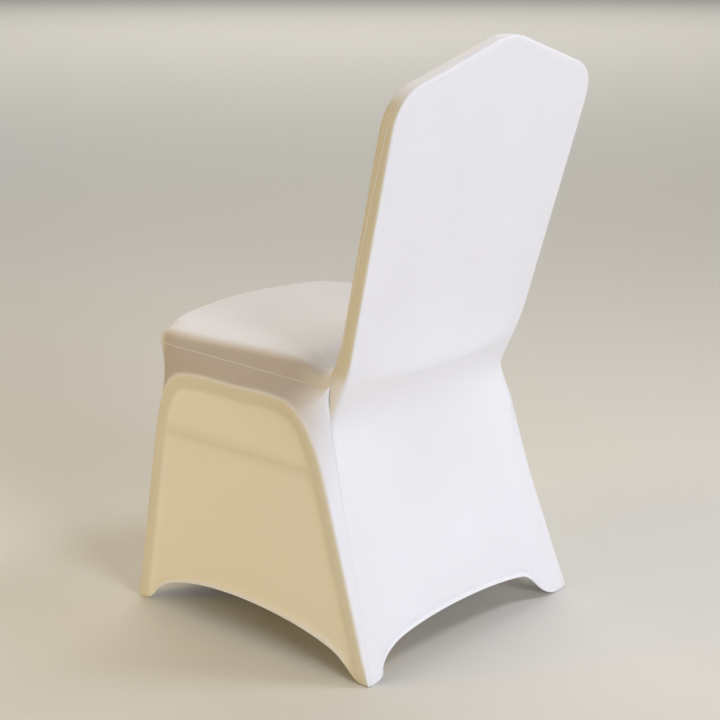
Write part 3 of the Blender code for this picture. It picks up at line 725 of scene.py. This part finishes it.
def cloth_object(name, grid, borders, seam_normals, relief):
    """A panel as a closed sheet, with its map and its marks."""
    quads, layers, number = net_quads(grid, borders)
    outer = np.concatenate([grid.reshape(-1, 3), *np.swapaxes(borders[:, 1:], 0, 1)])
    outer = settled(outer, quads, layers[-1])
    outer[:, 2] += foot_lift(outer)
    normals, facing = outward_normals(outer, quads, layers[-1], seam_normals)
    folded = smoothstep(POCKET_HEIGHT / 3, POCKET_HEIGHT, grid[0, :, 2])
    hem = np.zeros(len(outer))
    for row in range(len(HEM_ROWS)):
        hem[number[row]] = folded * (HEM_EDGE if row == 0 else 1.0)
    proud = hem * HEM_PROUD + relief(outer) - foot_inset(outer[:, 2])
    deeper = 1.0 + WAIST_DRAW_IN * nearness(outer, rear.points[0], WAIST_DRAW_REACH)
    for back, layer in enumerate(layers[::-1][:SEAM_LAYERS]):
        proud[layer] -= SEAM_DRAW_IN * deeper[layer] * (1.0 - back / SEAM_LAYERS) ** 2
    thickness = CLOTH + (HEM_THICKNESS - CLOTH) * hem
    outer_cloth = outer + normals * proud[:, None]
    inner = outer_cloth - normals * thickness[:, None]
    for side in (outer_cloth, inner):
        side[:, 2] = np.maximum(side[:, 2], 0.0)
    count = len(outer)
    if facing < 0:
        quads = quads[:, ::-1]
    edges = {(quad[at], quad[(at + 1) % 4]) for quad in quads.tolist() for at in range(4)}
    rims = [
        (end, start, start + count, end + count)
        for start, end in sorted(edges)
        if (end, start) not in edges
    ]
    faces = quads.tolist() + (quads[:, ::-1] + count).tolist() + rims
    points = np.concatenate([outer_cloth, inner])
    obj = mesh_object(name, points, faces, np.tile(net_map(grid, borders), (2, 1)))
    for mark, values in marks(outer, normals).items():
        store(obj.data, mark, np.tile(values, 2))
    store(obj.data, "hem_fold", np.tile(hem, 2))
    area = quad_area(outer_cloth, quads)
    print(f"{name}: {len(faces)} faces, {area:.3f} square metres of cloth")
    return obj, area, outer_cloth[number]

# %% Seams of this cover
over = back_seam()
rear, seat, apron, ridge = lower_seams()
waist_normal = unit(over.normals[0] + rear.normals[0] + seat.normals[0])
for seam in (over, rear, seat):
    seam.normals[0] = waist_normal
over.normals[-1] = waist_normal * MIRROR
corner_normal = unit(seat.normals[-1] + apron.normals[0])
seat.normals[-1] = corner_normal
apron.normals[0] = corner_normal
print("stations over the backrest:", len(over.points), "and down a leg:", len(rear.points))

# %% [markdown]
# The cloth is given painted shade and painted light as marks. A soft olive band inside the ridge is
# the painted shadow of the frame's tube under the cloth. A thin bar across the side is the painted
# shadow of the frame's crossbar. The darker sides of the seat and the backrest are painted shade
# where they face away from the light. Each point gets a mark for each of them, and one for the open
# side between the bands, which is painted with a warm tan light. Painted pictures could do this, but
# marks stay on the net, whatever its size. Inside the band the cloth falls back by a millimetre or
# two, and over the bar it stands out by less than one.

# %% Marks of painted shade and light
SIDE_MIDDLE = np.array([0.22, -0.28, 0.20])
FRAME_BAND = 0.0225
FRAME_BLUR = 0.005
FRAME_FALL = 0.0016
BAR_HEIGHT = 0.2935
BAR_HALF = 0.0085
BAR_RISE = 0.0007
# Each pair says where a mark begins and where it is whole
BAND_INWARD = (-0.001, 0.003)
BAR_ACROSS, BAR_INWARD = (0.192, 0.206), (0.0, 0.01)
# The open side between the bands gets a painted warm tan light
OPEN_ACROSS, OPEN_INWARD = (0.190, 0.203), (-0.001, 0.004)
# The seat's side is painted in shade between these bounds
CUSHION_ACROSS, CUSHION_INWARD = (0.172, 0.186), (0.001, -0.005)
CUSHION_UNDER, CUSHION_TOP = (0.29, 0.34), (0.453, 0.438)
CUSHION_REAR, CUSHION_FRONT = (-0.10, -0.20), (-0.465, -0.445)
# The backrest's side gets painted shade, tinted warm, where its outward direction turns to the near
# side
BACKREST_UNDER, BACKREST_REAR = (0.425, 0.45), (-0.16, -0.12)
BACKREST_FACING = (0.62, 0.93)


def near_ridge(points):
    """How far each point is from the ridge, and how far from it towards the side's middle."""
    nearest = np.full(len(points), np.inf)
    inward = np.zeros(len(points))
    for start, end in zip(ridge[:-1], ridge[1:]):
        way = end - start
        share = np.clip((points - start) @ way / (way @ way), 0.0, 1.0)
        foot = start + share[:, None] * way
        gap = points - foot
        distance = np.linalg.norm(gap, axis=1)
        toward = SIDE_MIDDLE[1:] - foot[:, 1:]
        toward /= np.linalg.norm(toward, axis=1)[:, None]
        closer = distance < nearest
        nearest[closer] = distance[closer]
        inward[closer] = (gap[:, 1:] * toward).sum(axis=1)[closer]
    return nearest, inward


# The band and the bar are painted as shadows of the frame's tubes, and they also shape the relief.
def band_and_bar(points):
    """How strong the band and the bar are, and where each point is from the ridge."""
    across, height = np.abs(points[:, 0]), points[:, 2]
    distance, inward = near_ridge(near_side(points))
    band = 1.0 - smoothstep(FRAME_BAND - FRAME_BLUR, FRAME_BAND + FRAME_BLUR, distance)
    band *= smoothstep(*BAND_INWARD, inward)
    bar = np.exp(-(((height - BAR_HEIGHT) / BAR_HALF) ** 2))
    bar *= smoothstep(*BAR_ACROSS, across) * smoothstep(*BAR_INWARD, inward)
    return band, bar * (1.0 - band), distance, inward


def marks(points, normals):
    """How strongly each painted shade or painted light lies at each point, from 0 to 1."""
    across, depth, height = np.abs(points[:, 0]), points[:, 1], points[:, 2]
    band, bar, _, inward = band_and_bar(points)
    cushion = smoothstep(*CUSHION_ACROSS, across) * smoothstep(*CUSHION_INWARD, inward)
    cushion *= smoothstep(*CUSHION_UNDER, height) * smoothstep(*CUSHION_TOP, height)
    cushion *= smoothstep(*CUSHION_REAR, depth) * smoothstep(*CUSHION_FRONT, depth)
    above_waist = smoothstep(*BACKREST_UNDER, height) * smoothstep(*BACKREST_REAR, depth)
    return {
        # Painted shadow of the frame's tube, inside the ridge
        "frame_band_painted_shadow": band,
        # Painted shadow of the frame's crossbar, across the side
        "frame_bar_painted_shadow": bar,
        # Painted warm tan light on the open side between the bands
        "open_side_painted_warm_light": smoothstep(*OPEN_INWARD, inward) * smoothstep(*OPEN_ACROSS, across),
        # Painted shade on the side of the seat
        "cushion_side_painted_shade": cushion,
        # Painted shade, tinted warm, on the backrest's side where it faces the near side
        "backrest_side_painted_shade": smoothstep(*BACKREST_FACING, np.abs(normals[:, 0])) * above_waist,
    }

# %% [markdown]
# Relief moves the outer face by less than two millimetres. Round the waist, where three seams
# meet, the cloth puckers in fine rays, and it creases a little where it is gathered round a foot.

# %% Relief of the panels
PUCKER_REACH = 0.024
PUCKER_START = (0.001, 0.006)
PUCKER_RAYS = 15
PUCKER_DEPTH = 0.0006
WRINKLE_TOP, WRINKLE_UNDER = (0.030, 0.006), (0.0, 0.005)
WRINKLE_WAVES = np.array([900.0, 1100.0, 260.0])


def panel_relief(points):
    """Fine rays round the waist's junction of seams, and small creases round the feet."""
    way = near_side(points) - rear.points[0]
    distance = np.linalg.norm(way, axis=1)
    angle = np.arctan2(way[:, 2], way[:, 0] - way[:, 1])
    rays = np.exp(-((distance / PUCKER_REACH) ** 2)) * smoothstep(*PUCKER_START, distance)
    height = points[:, 2]
    creases = smoothstep(*WRINKLE_TOP, height) * smoothstep(*WRINKLE_UNDER, height)
    return PUCKER_DEPTH * rays * np.sin(PUCKER_RAYS * angle) + (
        FOOT_WRINKLE * creases * np.sin(points @ WRINKLE_WAVES)
    )


def side_relief(points):
    """A side panel's relief: the cloth falls back inside the band, and the bar lifts it."""
    _, bar, distance, inward = band_and_bar(points)
    distance[inward <= 0] = 0.0
    inside = smoothstep(FRAME_BAND - FRAME_BLUR, FRAME_BAND + 2 * FRAME_BLUR, distance)
    return BAR_RISE * bar - FRAME_FALL * inside + panel_relief(points)

# %% [markdown]
# The hems are cut in arches, so that the cover clears the floor between the feet. The arch over
# the rear is flatter on top than a circle, and the side's leans a little to the rear. The ends of a
# hem lean with the side lines, so that no column of the net crosses its neighbour.

# %% Arches of the hems
EDGE_FOLLOW = 0.14


def arch(share, squareness):
    """A hem's arch, 0 at both feet and 1 at its top, over a share from -1 to 1."""
    return np.maximum(1.0 - share**2, 0.0) ** squareness


def across_share(top):
    """Where each column lies across a panel, from 1 on the right to -1 on the left."""
    return 1.0 - 2.0 * along(top) / along(top)[-1]


def follow_edges(hem, right, left, share, axis):
    """A hem whose ends lean as the side lines do, so that no column crosses its neighbour."""
    for edge, away in ((right, share), (left, 1.0 - share)):
        near = 1.0 - smoothstep(0.0, EDGE_FOLLOW, away)
        low = edge[: LEG_STEPS - len(HEM_ROWS)]
        leaning = np.interp(hem[:, 2], low[:, 2], low[:, axis]) - low[0, axis]
        hem[:, axis] += near * leaning
    return hem


def hem_between_feet(right, left, share, depth, height):
    """A hem from the right foot to the left one."""
    hem = np.stack([share * right[0, 0], depth, height], axis=1)
    return follow_edges(hem, right, left, (1.0 - share) / 2.0, 0)

# %% [markdown]
# The back is one length of cloth from the crown to the rear hem. At the waist nothing is behind
# it and it spans a shallow hollow. At the far foot its hem runs in as a small web.

# %% Back panel
WEB_SPAN = (-1.02, -0.70)
HOLLOW_DROP = 0.04
HOLLOW_REACH = 0.085


def make_back(over, rear):
    pieces = [(rear, "first", True), (over, "first", False), (rear.mirrored(), "first", False)]
    borders, normals, right, left, top = assemble(pieces, LEG_STEPS + UPRIGHT_STEPS)
    share = across_share(top)
    height = REAR_HEM_HEIGHT * arch(share, SQUARE_ARCH) * smoothstep(*WEB_SPAN, share)
    hem = hem_between_feet(right, left, share, REAR_LEG_RAKE * height, height)
    grid = span(right, left, top, hem)
    hollow = (grid[..., 2] - WAIST_HEIGHT + HOLLOW_DROP) / HOLLOW_REACH
    grid[..., 1] += WAIST_SPAN * np.exp(-(hollow**2)) * (1.0 - share**2)
    return cloth_object("back_cloth", grid, borders, normals, panel_relief)


back_cloth, back_area, back_net = make_back(over, rear)

# %% [markdown]
# The front is inside back, seat and apron in one length. The seat is slightly crowned, and its
# front edge bows forward.

# %% Front panel
SEAT_CROWN_DEPTHS, SEAT_CROWN_HEIGHTS = (-0.16, -0.26), (0.40, 0.445)
BOW_DEPTHS, BOW_HEIGHTS = (-0.26, -0.45), (0.14, 0.42)
BOW_POWER = 1.2


def make_front(over, seat, apron):
    other_apron, other_seat = apron.mirrored(), seat.mirrored()
    pieces = [(apron, "first", True), (seat, "first", True), (over, "last", False)]
    pieces += [(other_seat, "first", False), (other_apron, "first", False)]
    borders, normals, right, left, top = assemble(
        pieces, LEG_STEPS + SEAT_STEPS + UPRIGHT_STEPS
    )
    share = across_share(top)
    height = FRONT_HEM_HEIGHT * arch(share, SQUARE_ARCH)
    depth = FRONT_FOOT_DEPTH + FRONT_LEG_RAKE * height
    grid = span(right, left, top, hem_between_feet(right, left, share, depth, height))
    depth, height = grid[..., 1].copy(), grid[..., 2].copy()
    on_seat = smoothstep(*SEAT_CROWN_DEPTHS, depth) * smoothstep(*SEAT_CROWN_HEIGHTS, height)
    grid[..., 2] += SEAT_CROWN * on_seat * (1.0 - share**2) ** 2
    forward = smoothstep(*BOW_DEPTHS, depth) * smoothstep(*BOW_HEIGHTS, height)
    grid[..., 1] -= FRONT_BOW * forward * (1.0 - share**2) ** BOW_POWER
    return cloth_object("front_cloth", grid, borders, normals, panel_relief)


front_cloth, front_area, front_net = make_front(over, seat, apron)

# %% [markdown]
# Each side is a panel under the seat, between the front leg and the rear leg. Both come from the
# same function, one of them mirrored, and the normals are found again on the mirrored net.

# %% Side panels
def make_side(name, rear, seat, apron, mirror):
    pieces = [(rear, "last", True), (seat, "last", False), (apron, "last", False)]
    borders, normals, right, left, top = assemble(pieces, LEG_STEPS)
    share = (1.0 - across_share(top)) / 2.0
    depth = right[0, 1] + share * (left[0, 1] - right[0, 1])
    middle = (SIDE_ARCH_REAR + SIDE_ARCH_FRONT) / 2
    place = np.clip((depth - middle) / (SIDE_ARCH_REAR - middle), -1.0, 1.0)
    height = SIDE_HEM_HEIGHT * arch(place, ROUND_ARCH) * (1.0 - SIDE_ARCH_SKEW * place)
    across = right[0, 0] + share * (left[0, 0] - right[0, 0]) + LEG_FLARE * height
    hem = np.stack([across, depth, height], axis=1)
    hem = follow_edges(hem, right, left, share, 1)
    grid = span(right, left, top, hem, SIDE_TOP_REACH)
    grid, borders, normals = grid * mirror, borders * mirror, normals * mirror
    return cloth_object(name, grid, borders, normals, side_relief)


right_cloth, side_area, right_net = make_side("side_cloth_right", rear, seat, apron, np.ones(3))
left_cloth, side_area, left_net = make_side("side_cloth_left", rear, seat, apron, MIRROR)

# %% [markdown]
# A small pocket of the same knit closes round each foot and keeps the cover down. It sits inside
# the tips of the panels. Its walls are loops of a rounded square, outside up and inside down.

# %% Foot pockets
def pocket_loop(corner, inward, size, rounding, height, rake):
    """A rounded square around a foot at a height, from its outer corner inward."""
    centre = corner + inward * size / 2
    points = []
    for quarter in range(4):
        for step in range(POCKET_CORNER_STEPS + 1):
            turn = np.radians(90 * (quarter + step / POCKET_CORNER_STEPS))
            heading = np.radians(45 + 90 * quarter)
            middle = np.sign([np.cos(heading), np.sin(heading)]) * (size / 2 - rounding)
            points.append(centre + middle + rounding * np.array([np.cos(turn), np.sin(turn)]))
    points = np.array(points) + np.array([LEG_FLARE, rake]) * height
    return np.column_stack([points, np.full(len(points), height)])


def make_pocket(name, corner, inward, rake, mirror):
    """The small cup of cloth that closes round a foot, inside the panels' tips."""
    seat_of_pocket = CLOTH + 2 * SEAM_GAP
    inward = np.array(inward)
    corner = np.array(corner) + inward * seat_of_pocket
    size = FOOT_WIDTH - 2 * seat_of_pocket
    up = np.linspace(0.0, POCKET_HEIGHT, POCKET_STEPS + 1)
    loops = []
    for wall, levels in ((0.0, up), (CLOTH, up[::-1])):
        for level in levels:
            gap = wall + foot_inset(level)
            start, across = corner + inward * gap, size - 2 * gap
            rounding, height = POCKET_ROUNDING - wall, max(level, wall)
            loops.append(pocket_loop(start, inward, across, rounding, height, rake))
    count = len(loops[0])
    faces = [tuple(range(count))[::-1]]
    for level in range(len(loops) - 1):
        for at in range(count):
            after = (at + 1) % count
            low, high = level * count, (level + 1) * count
            faces.append((low + at, low + after, high + after, high + at))
    faces.append(tuple(range(count * (len(loops) - 1), count * len(loops))))
    if mirror[0] < 0:
        faces = [face[::-1] for face in faces]
    points = np.concatenate(loops)
    points[:, 2] += foot_lift(points)
    around = np.tile(along(loops[0]), len(loops))
    flat_map = np.stack([around, points[:, 2]], axis=1)
    return mesh_object(name, points * mirror, faces, flat_map)


pockets = {}
for side, mirror in (("right", np.ones(3)), ("left", MIRROR)):
    for end, corner, inward, rake in (
        ("rear", (REAR_FOOT_HALF_WIDTH, 0.0), (-1.0, -1.0), REAR_LEG_RAKE),
        ("front", (FRONT_FOOT_HALF_WIDTH, FRONT_FOOT_DEPTH), (-1.0, 1.0), FRONT_LEG_RAKE),
    ):
        name = f"{end}_pocket_{side}"
        pockets[f"{end}_foot_pocket_{side}"] = make_pocket(name, corner, inward, rake, mirror)
print("pockets:", ", ".join(pocket.name for pocket in pockets.values()))

# %% [markdown]
# A small helper adds a node, sets its properties, and sets or wires its inputs. With it a tree
# reads from top to bottom, for the materials here and for the stitches later.

# %% Helpers for node trees
def feed(tree, target, inputs):
    """Sets a node's inputs, or wires those whose value is another node's output."""
    for key, value in inputs.items():
        if isinstance(value, bpy.types.NodeSocket):
            tree.links.new(value, target.inputs[key])
        else:
            target.inputs[key].default_value = value


def node(tree, kind, inputs=None, **properties):
    """A node with its properties and its inputs."""
    made = tree.nodes.new(kind)
    for key, value in properties.items():
        setattr(made, key, value)
    feed(tree, made, inputs or {})
    return made


def mixed(tree, share, first, second, blend="MIX"):
    """The output of a node that mixes two colours."""
    colours = {0: share, 6: first, 7: second}
    return node(tree, "ShaderNodeMix", colours, data_type="RGBA", blend_type=blend).outputs[2]


def new_material(name):
    """An empty material, its tree and its shader."""
    material = bpy.data.materials.new(name)
    material.use_nodes = True
    print("material", name)
    return material, material.node_tree, material.node_tree.nodes["Principled BSDF"]

# %% [markdown]
# The knit is white elastane: smooth, close and slightly shiny, with columns of loops down the
# cloth and rows across it. The material draws both from the map, with a little broad shading where
# the cloth is stretched unevenly. Each mark pulls the colour towards a tint of its own: painted
# shadow of the frame, painted shade on the sides of the seat and the backrest, and painted warm
# light on the open side. Hems are two layers, and the hem's fold takes the painted marks off again,
# so they stay white. A photographed weave would look alike from afar, but it would not follow the
# cloth.

# %% Material of the knit
# Each mark of painted shade or light, how strong it is, and its tint
PAINTED_SHADE_AND_LIGHT = (
    # Painted warm tan light on the open side between the bands
    ("open_side_painted_warm_light", 1.0, (0.855, 0.82, 0.71)),
    # Painted shadow of the frame's tube, inside the ridge
    ("frame_band_painted_shadow", 0.50, (0.60, 0.55, 0.42)),
    # Painted shadow of the frame's crossbar, across the side
    ("frame_bar_painted_shadow", 0.36, (0.60, 0.55, 0.42)),
    # Painted shade on the side of the seat
    ("cushion_side_painted_shade", 0.95, (0.50, 0.44, 0.41)),
    # Painted shade, tinted warm, on the backrest's side where it faces the near side
    ("backrest_side_painted_shade", 0.70, (0.66, 0.59, 0.38)),
)
WALE = 0.0011
COURSE = 0.0009
BANDS_PER_LOOP = 0.314


def knit(name, white, shade):
    """White stretch knit, shaded by its stretch, with painted shade and light from its marks."""
    material, tree, shader = new_material(name)
    place = node(tree, "ShaderNodeTexCoord")
    per_loop = {0: place.outputs["UV"], 1: (1 / WALE, 1 / COURSE, 0.0)}
    scaled = node(tree, "ShaderNodeVectorMath", per_loop, operation="MULTIPLY")
    loops = node(tree, "ShaderNodeMix", {0: 0.45}, data_type="FLOAT")
    for socket, way, bend in ((2, "X", 0.35), (3, "Y", 0.55)):
        wave = {"Vector": scaled.outputs[0], "Scale": BANDS_PER_LOOP}
        wave.update({"Distortion": bend, "Detail": 1.0})
        bands = node(tree, "ShaderNodeTexWave", wave, wave_type="BANDS", bands_direction=way)
        feed(tree, loops, {socket: bands.outputs["Fac"]})
    loops = loops.outputs[0]
    clouds = {"Vector": place.outputs["Object"], "Scale": 5.5, "Detail": 3.0, "Roughness": 0.45}
    stretch = node(tree, "ShaderNodeTexNoise", clouds)
    cloud = node(tree, "ShaderNodeValToRGB", {"Fac": stretch.outputs["Fac"]})
    for stop, position, tone in zip(cloud.color_ramp.elements, (0.25, 0.75), (shade, white)):
        stop.position = position
        stop.color = (*tone, 1.0)
    colour = mixed(tree, 0.10, cloud.outputs["Color"], loops, "MULTIPLY")
    # Each mark lays its painted shade or painted warm light over the knit
    for mark, strength, tint in PAINTED_SHADE_AND_LIGHT:
        painted_mark = node(tree, "ShaderNodeAttribute", attribute_name=mark)
        share = {0: painted_mark.outputs["Fac"], 1: strength}
        amount = node(tree, "ShaderNodeMath", share, operation="MULTIPLY")
        colour = mixed(tree, amount.outputs[0], colour, (*tint, 1.0))
    fold = node(tree, "ShaderNodeAttribute", attribute_name="hem_fold")
    colour = mixed(tree, fold.outputs["Fac"], colour, (*white, 1.0))
    rough = node(tree, "ShaderNodeMapRange", {"Value": loops, "To Min": 0.62, "To Max": 0.78})
    relief = {"Height": loops, "Strength": 0.30, "Distance": 0.00035}
    bump = node(tree, "ShaderNodeBump", relief)
    feed(
        tree,
        shader,
        {
            "Base Color": colour,
            "Roughness": rough.outputs["Result"],
            "Normal": bump.outputs["Normal"],
            "Sheen Weight": 0.25,
            "Sheen Roughness": 0.45,
            "Specular IOR Level": 0.35,
        },
    )
    return material


white_knit = knit("white_knit", (0.87, 0.865, 0.90), (0.835, 0.83, 0.86))

# %% Knit on the cloth
for cloth in (back_cloth, front_cloth, right_cloth, left_cloth, *pockets.values()):
    cloth.data.materials.append(white_knit)

# %% [markdown]
# Hems are sewn with a row of short stitches, and the seams with a line of thread in the groove.
# A stitch repeats thousands of times, so it is one small bead set along a path by Geometry Nodes.
# The tree takes its spacing, its size and its material as inputs, and ends in real faces. A
# particle system could do it too, but it would need seeds and could not follow a path so evenly.

# %% Tree for stitches
def stitch_tree():
    """Geometry Nodes that set small beads of thread along a curve."""
    tree = bpy.data.node_groups.new("stitch_row", "GeometryNodeTree")
    face = tree.interface
    face.new_socket("Geometry", in_out="INPUT", socket_type="NodeSocketGeometry")
    for title in ("Spacing", "Length", "Thread"):
        face.new_socket(title, in_out="INPUT", socket_type="NodeSocketFloat")
    face.new_socket("Material", in_out="INPUT", socket_type="NodeSocketMaterial")
    face.new_socket("Geometry", in_out="OUTPUT", socket_type="NodeSocketGeometry")
    given = node(tree, "NodeGroupInput").outputs
    curve = node(tree, "GeometryNodeMeshToCurve", {"Mesh": given["Geometry"]})
    steps = {"Curve": curve.outputs["Curve"], "Length": given["Spacing"]}
    cuts = node(tree, "GeometryNodeCurveToPoints", steps, mode="LENGTH").outputs
    bead = node(tree, "GeometryNodeMeshUVSphere", {"Segments": 6, "Rings": 4, "Radius": 1.0})
    half = node(tree, "ShaderNodeMath", {0: given["Length"], 1: 0.5}, operation="MULTIPLY")
    sides = {"X": given["Thread"], "Y": given["Thread"], "Z": half.outputs[0]}
    size = node(tree, "ShaderNodeCombineXYZ", sides)
    ahead = {"Vector": cuts["Tangent"]}
    turn = node(tree, "FunctionNodeAlignRotationToVector", ahead, axis="Z")
    beads = {"Points": cuts["Points"], "Instance": bead.outputs["Mesh"]}
    beads.update({"Rotation": turn.outputs["Rotation"], "Scale": size.outputs["Vector"]})
    row = node(tree, "GeometryNodeInstanceOnPoints", beads)
    real = node(tree, "GeometryNodeRealizeInstances", {"Geometry": row.outputs["Instances"]})
    smooth = node(tree, "GeometryNodeSetShadeSmooth", {"Geometry": real.outputs["Geometry"]})
    coated = {"Geometry": smooth.outputs["Geometry"], "Material": given["Material"]}
    coat = node(tree, "GeometryNodeSetMaterial", coated)
    node(tree, "NodeGroupOutput", {"Geometry": coat.outputs["Geometry"]})
    return tree


STITCH_TREE = stitch_tree()
SOCKETS = {
    item.name: item.identifier
    for item in STITCH_TREE.interface.items_tree
    if item.in_out == "INPUT"
}
print("stitch tree inputs:", ", ".join(SOCKETS))

# %% Rows of stitches
def stitches(name, paths, spacing, length, thread, material):
    """A piece of stitches along several paths, as one plain mesh."""
    mesh = bpy.data.meshes.new(name + "_paths")
    points, edges = [], []
    for path in paths:
        first = len(points)
        points.extend((path - ORIGIN).tolist())
        edges.extend((at, at + 1) for at in range(first, len(points) - 1))
    mesh.from_pydata(points, edges, [])
    carrier = bpy.data.objects.new(name + "_paths", mesh)
    bpy.context.scene.collection.objects.link(carrier)
    row = carrier.modifiers.new("stitch_row", "NODES")
    row.node_group = STITCH_TREE
    inputs = {"Spacing": spacing, "Length": length, "Thread": thread, "Material": material}
    for title, value in inputs.items():
        row[SOCKETS[title]] = value
    graph = bpy.context.evaluated_depsgraph_get()
    graph.update()
    plain = bpy.data.meshes.new_from_object(carrier.evaluated_get(graph))
    bpy.data.objects.remove(carrier)
    piece = bpy.data.objects.new(name, plain)
    plain.name = name
    bpy.context.scene.collection.objects.link(piece)
    print(f"{name}: {len(plain.polygons)} faces along {len(paths)} paths")
    return piece


def thread_material(name, colour):
    """Sewing thread: its twist is a fine change of tone."""
    material, tree, shader = new_material(name)
    place = node(tree, "ShaderNodeTexCoord")
    noise = {"Vector": place.outputs["Object"], "Scale": 900.0}
    twist = node(tree, "ShaderNodeTexNoise", noise)
    darker = (*[part * 0.86 for part in colour], 1.0)
    tone = mixed(tree, twist.outputs["Fac"], darker, (*colour, 1.0))
    feed(tree, shader, {"Base Color": tone, "Roughness": 0.55, "Sheen Weight": 0.2})
    return material

# %% [markdown]
# The hem's stitches follow the row of the net where its fold ends, and stop short of the feet. The
# seams' thread lies in their groove. Both rows are cut at the spacing of a domestic stitch, about
# three millimetres.

# %% Thread on hems and seams
HEM_STITCH_ROW = len(HEM_ROWS)
HEM_STITCH = {"spacing": 0.0034, "length": 0.0024, "thread": 0.00032}
HEM_STITCH_START = POCKET_HEIGHT * 1.4
SEAM_STITCH = {"spacing": 0.0022, "length": 0.0030, "thread": 0.00046}
SEAM_STITCH_START = 0.004
SEAM_STITCH_SUNK = SEAM_DRAW_IN - 0.00005

white_thread = thread_material("white_thread", (0.86, 0.86, 0.87))
hem_paths = [net[HEM_STITCH_ROW] for net in (back_net, front_net, right_net, left_net)]
hem_paths = [path[path[:, 2] > HEM_STITCH_START] for path in hem_paths]
hem_stitches = stitches("hem_stitches", hem_paths, material=white_thread, **HEM_STITCH)

seam_paths = [over.points - over.normals * SEAM_STITCH_SUNK]
for seam in (rear, seat, apron):
    for shown in (seam, seam.mirrored()):
        line = shown.points - shown.normals * SEAM_STITCH_SUNK
        seam_paths.append(line[line[:, 2] > SEAM_STITCH_START])
seam_thread = stitches("seam_thread", seam_paths, material=white_thread, **SEAM_STITCH)

# %% [markdown]
# Each piece of cloth takes the place of its solid and rides on the cover. The table gives each
# sheet's size as it was cut. Stretch cloth is cut smaller than it hangs, by about an eighth of its
# area, and the declared area says so.

# %% Dress the frame
CUTS = (
    (back_cloth, "back_panel", (0.46, 0.93), back_area),
    (front_cloth, "front_panel", (0.50, 1.36), front_area),
    (right_cloth, "side_panel_right", (0.50, 0.42), side_area),
    (left_cloth, "side_panel_left", (0.50, 0.42), side_area),
)
for cloth, panel, flat, area in CUTS:
    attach(cloth, "root")
    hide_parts(panel)
for solid, pocket in pockets.items():
    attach(pocket, "root")
    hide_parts(solid)
for thread in (hem_stitches, seam_thread):
    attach(thread, "root")

# %% [markdown]
# The stage is a plain pale floor, a pale world and soft lights. The key light comes from behind
# the cover, so that its back is bright, and a small one above gives the crown its edge. The near
# side is in their shade. A warm light on it, together with the painted warm light of its open side,
# gives it its tan tone. The key and that light have a narrow spread, so that they don't burn a spot
# into the floor in other views.

# %% Floor and lights
FLOOR_TONE = (0.74, 0.72, 0.66)
FLOOR_REACH = 40.0
FLOOR_GAP = 0.0005
COVER_MIDDLE = np.array([0.0, -0.20, 0.45])
# Each light's direction, distance, size, power, colour and spread
LIGHTS = {
    "key": ((0.22, 0.95, 0.28), 6.0, 2.6, 46.5, (0.935, 0.945, 1.0), 80.0),
    "sky": ((-0.60, 0.55, 1.00), 2.8, 0.9, 25.0, (0.93, 0.94, 1.0), 180.0),
    "glow": ((0.82, -0.57, 0.26), 5.0, 2.2, 17.0, (1.0, 0.69, 0.17), 80.0),
    "warm_top": ((0.35, -0.90, 0.80), 3.0, 1.6, 9.5, (1.0, 0.81, 0.53), 180.0),
    "floor_behind": ((-0.75, -0.66, 0.60), 11.0, 9.0, 480.0, (1.0, 0.98, 0.95), 180.0),
}


def stand(name, data, back, place):
    """A lamp or a camera at a place, looking away from the direction of its back."""
    side = unit(np.cross((0.0, 0.0, 1.0), back))
    turned = np.eye(4)
    turned[:3, :3] = np.stack([side, np.cross(back, side), back], axis=1)
    turned[:3, 3] = place - ORIGIN
    obj = bpy.data.objects.new(name, data)
    obj.matrix_world = Matrix(turned.tolist())
    bpy.context.scene.collection.objects.link(obj)
    return obj


def stage_floor():
    """A plain floor, far wider than any view."""
    mesh = bpy.data.meshes.new("floor")
    corners = [(x * FLOOR_REACH, y * FLOOR_REACH) for x, y in ((-1, -1), (1, -1), (1, 1), (-1, 1))]
    mesh.from_pydata([(x, y, -ORIGIN[2] - FLOOR_GAP) for x, y in corners], [], [(0, 1, 2, 3)])
    floor = bpy.data.objects.new("floor", mesh)
    bpy.context.scene.collection.objects.link(floor)
    material, tree, shader = new_material("floor")
    feed(tree, shader, {"Base Color": (*FLOOR_TONE, 1.0), "Roughness": 0.9})
    mesh.materials.append(material)

# %% Light the stage
stage_floor()
for name, (toward, distance, size, power, colour, spread_angle) in LIGHTS.items():
    data = bpy.data.lights.new(name, "AREA")
    data.shape, data.size, data.energy, data.color = "SQUARE", size, power, colour
    data.spread = np.radians(spread_angle)
    back = unit(np.array(toward))
    stand(name, data, back, COVER_MIDDLE + back * distance)
print("lights:", ", ".join(LIGHTS))

world = bpy.data.worlds.new("studio")
world.use_nodes = True
air = {"Color": (0.95, 0.93, 0.92, 1.0), "Strength": 0.22}
feed(world.node_tree, world.node_tree.nodes["Background"], air)
bpy.context.scene.world = world
bpy.context.scene.view_settings.view_transform = "Standard"

# %% [markdown]
# The camera stands behind the cover, to its right and a little above, with a long lens. Its
# place was found by fitting the cover's corners, seams and feet to the photograph.

# %% Camera
CAMERA_PLACE = np.array([2.03606, 1.55532, 1.16849])
CAMERA_AZIMUTH = np.radians(131.315)
CAMERA_ELEVATION = np.radians(15.890)
LENS = 90.0
SENSOR = 36.0

level = np.cos(CAMERA_ELEVATION)
back = np.array(
    [np.sin(CAMERA_AZIMUTH) * level, -np.cos(CAMERA_AZIMUTH) * level, np.sin(CAMERA_ELEVATION)]
)
lens = bpy.data.cameras.new("camera")
lens.lens, lens.sensor_width = LENS, SENSOR
bpy.context.scene.camera = stand("camera", lens, back, CAMERA_PLACE)
print("camera at", CAMERA_PLACE)
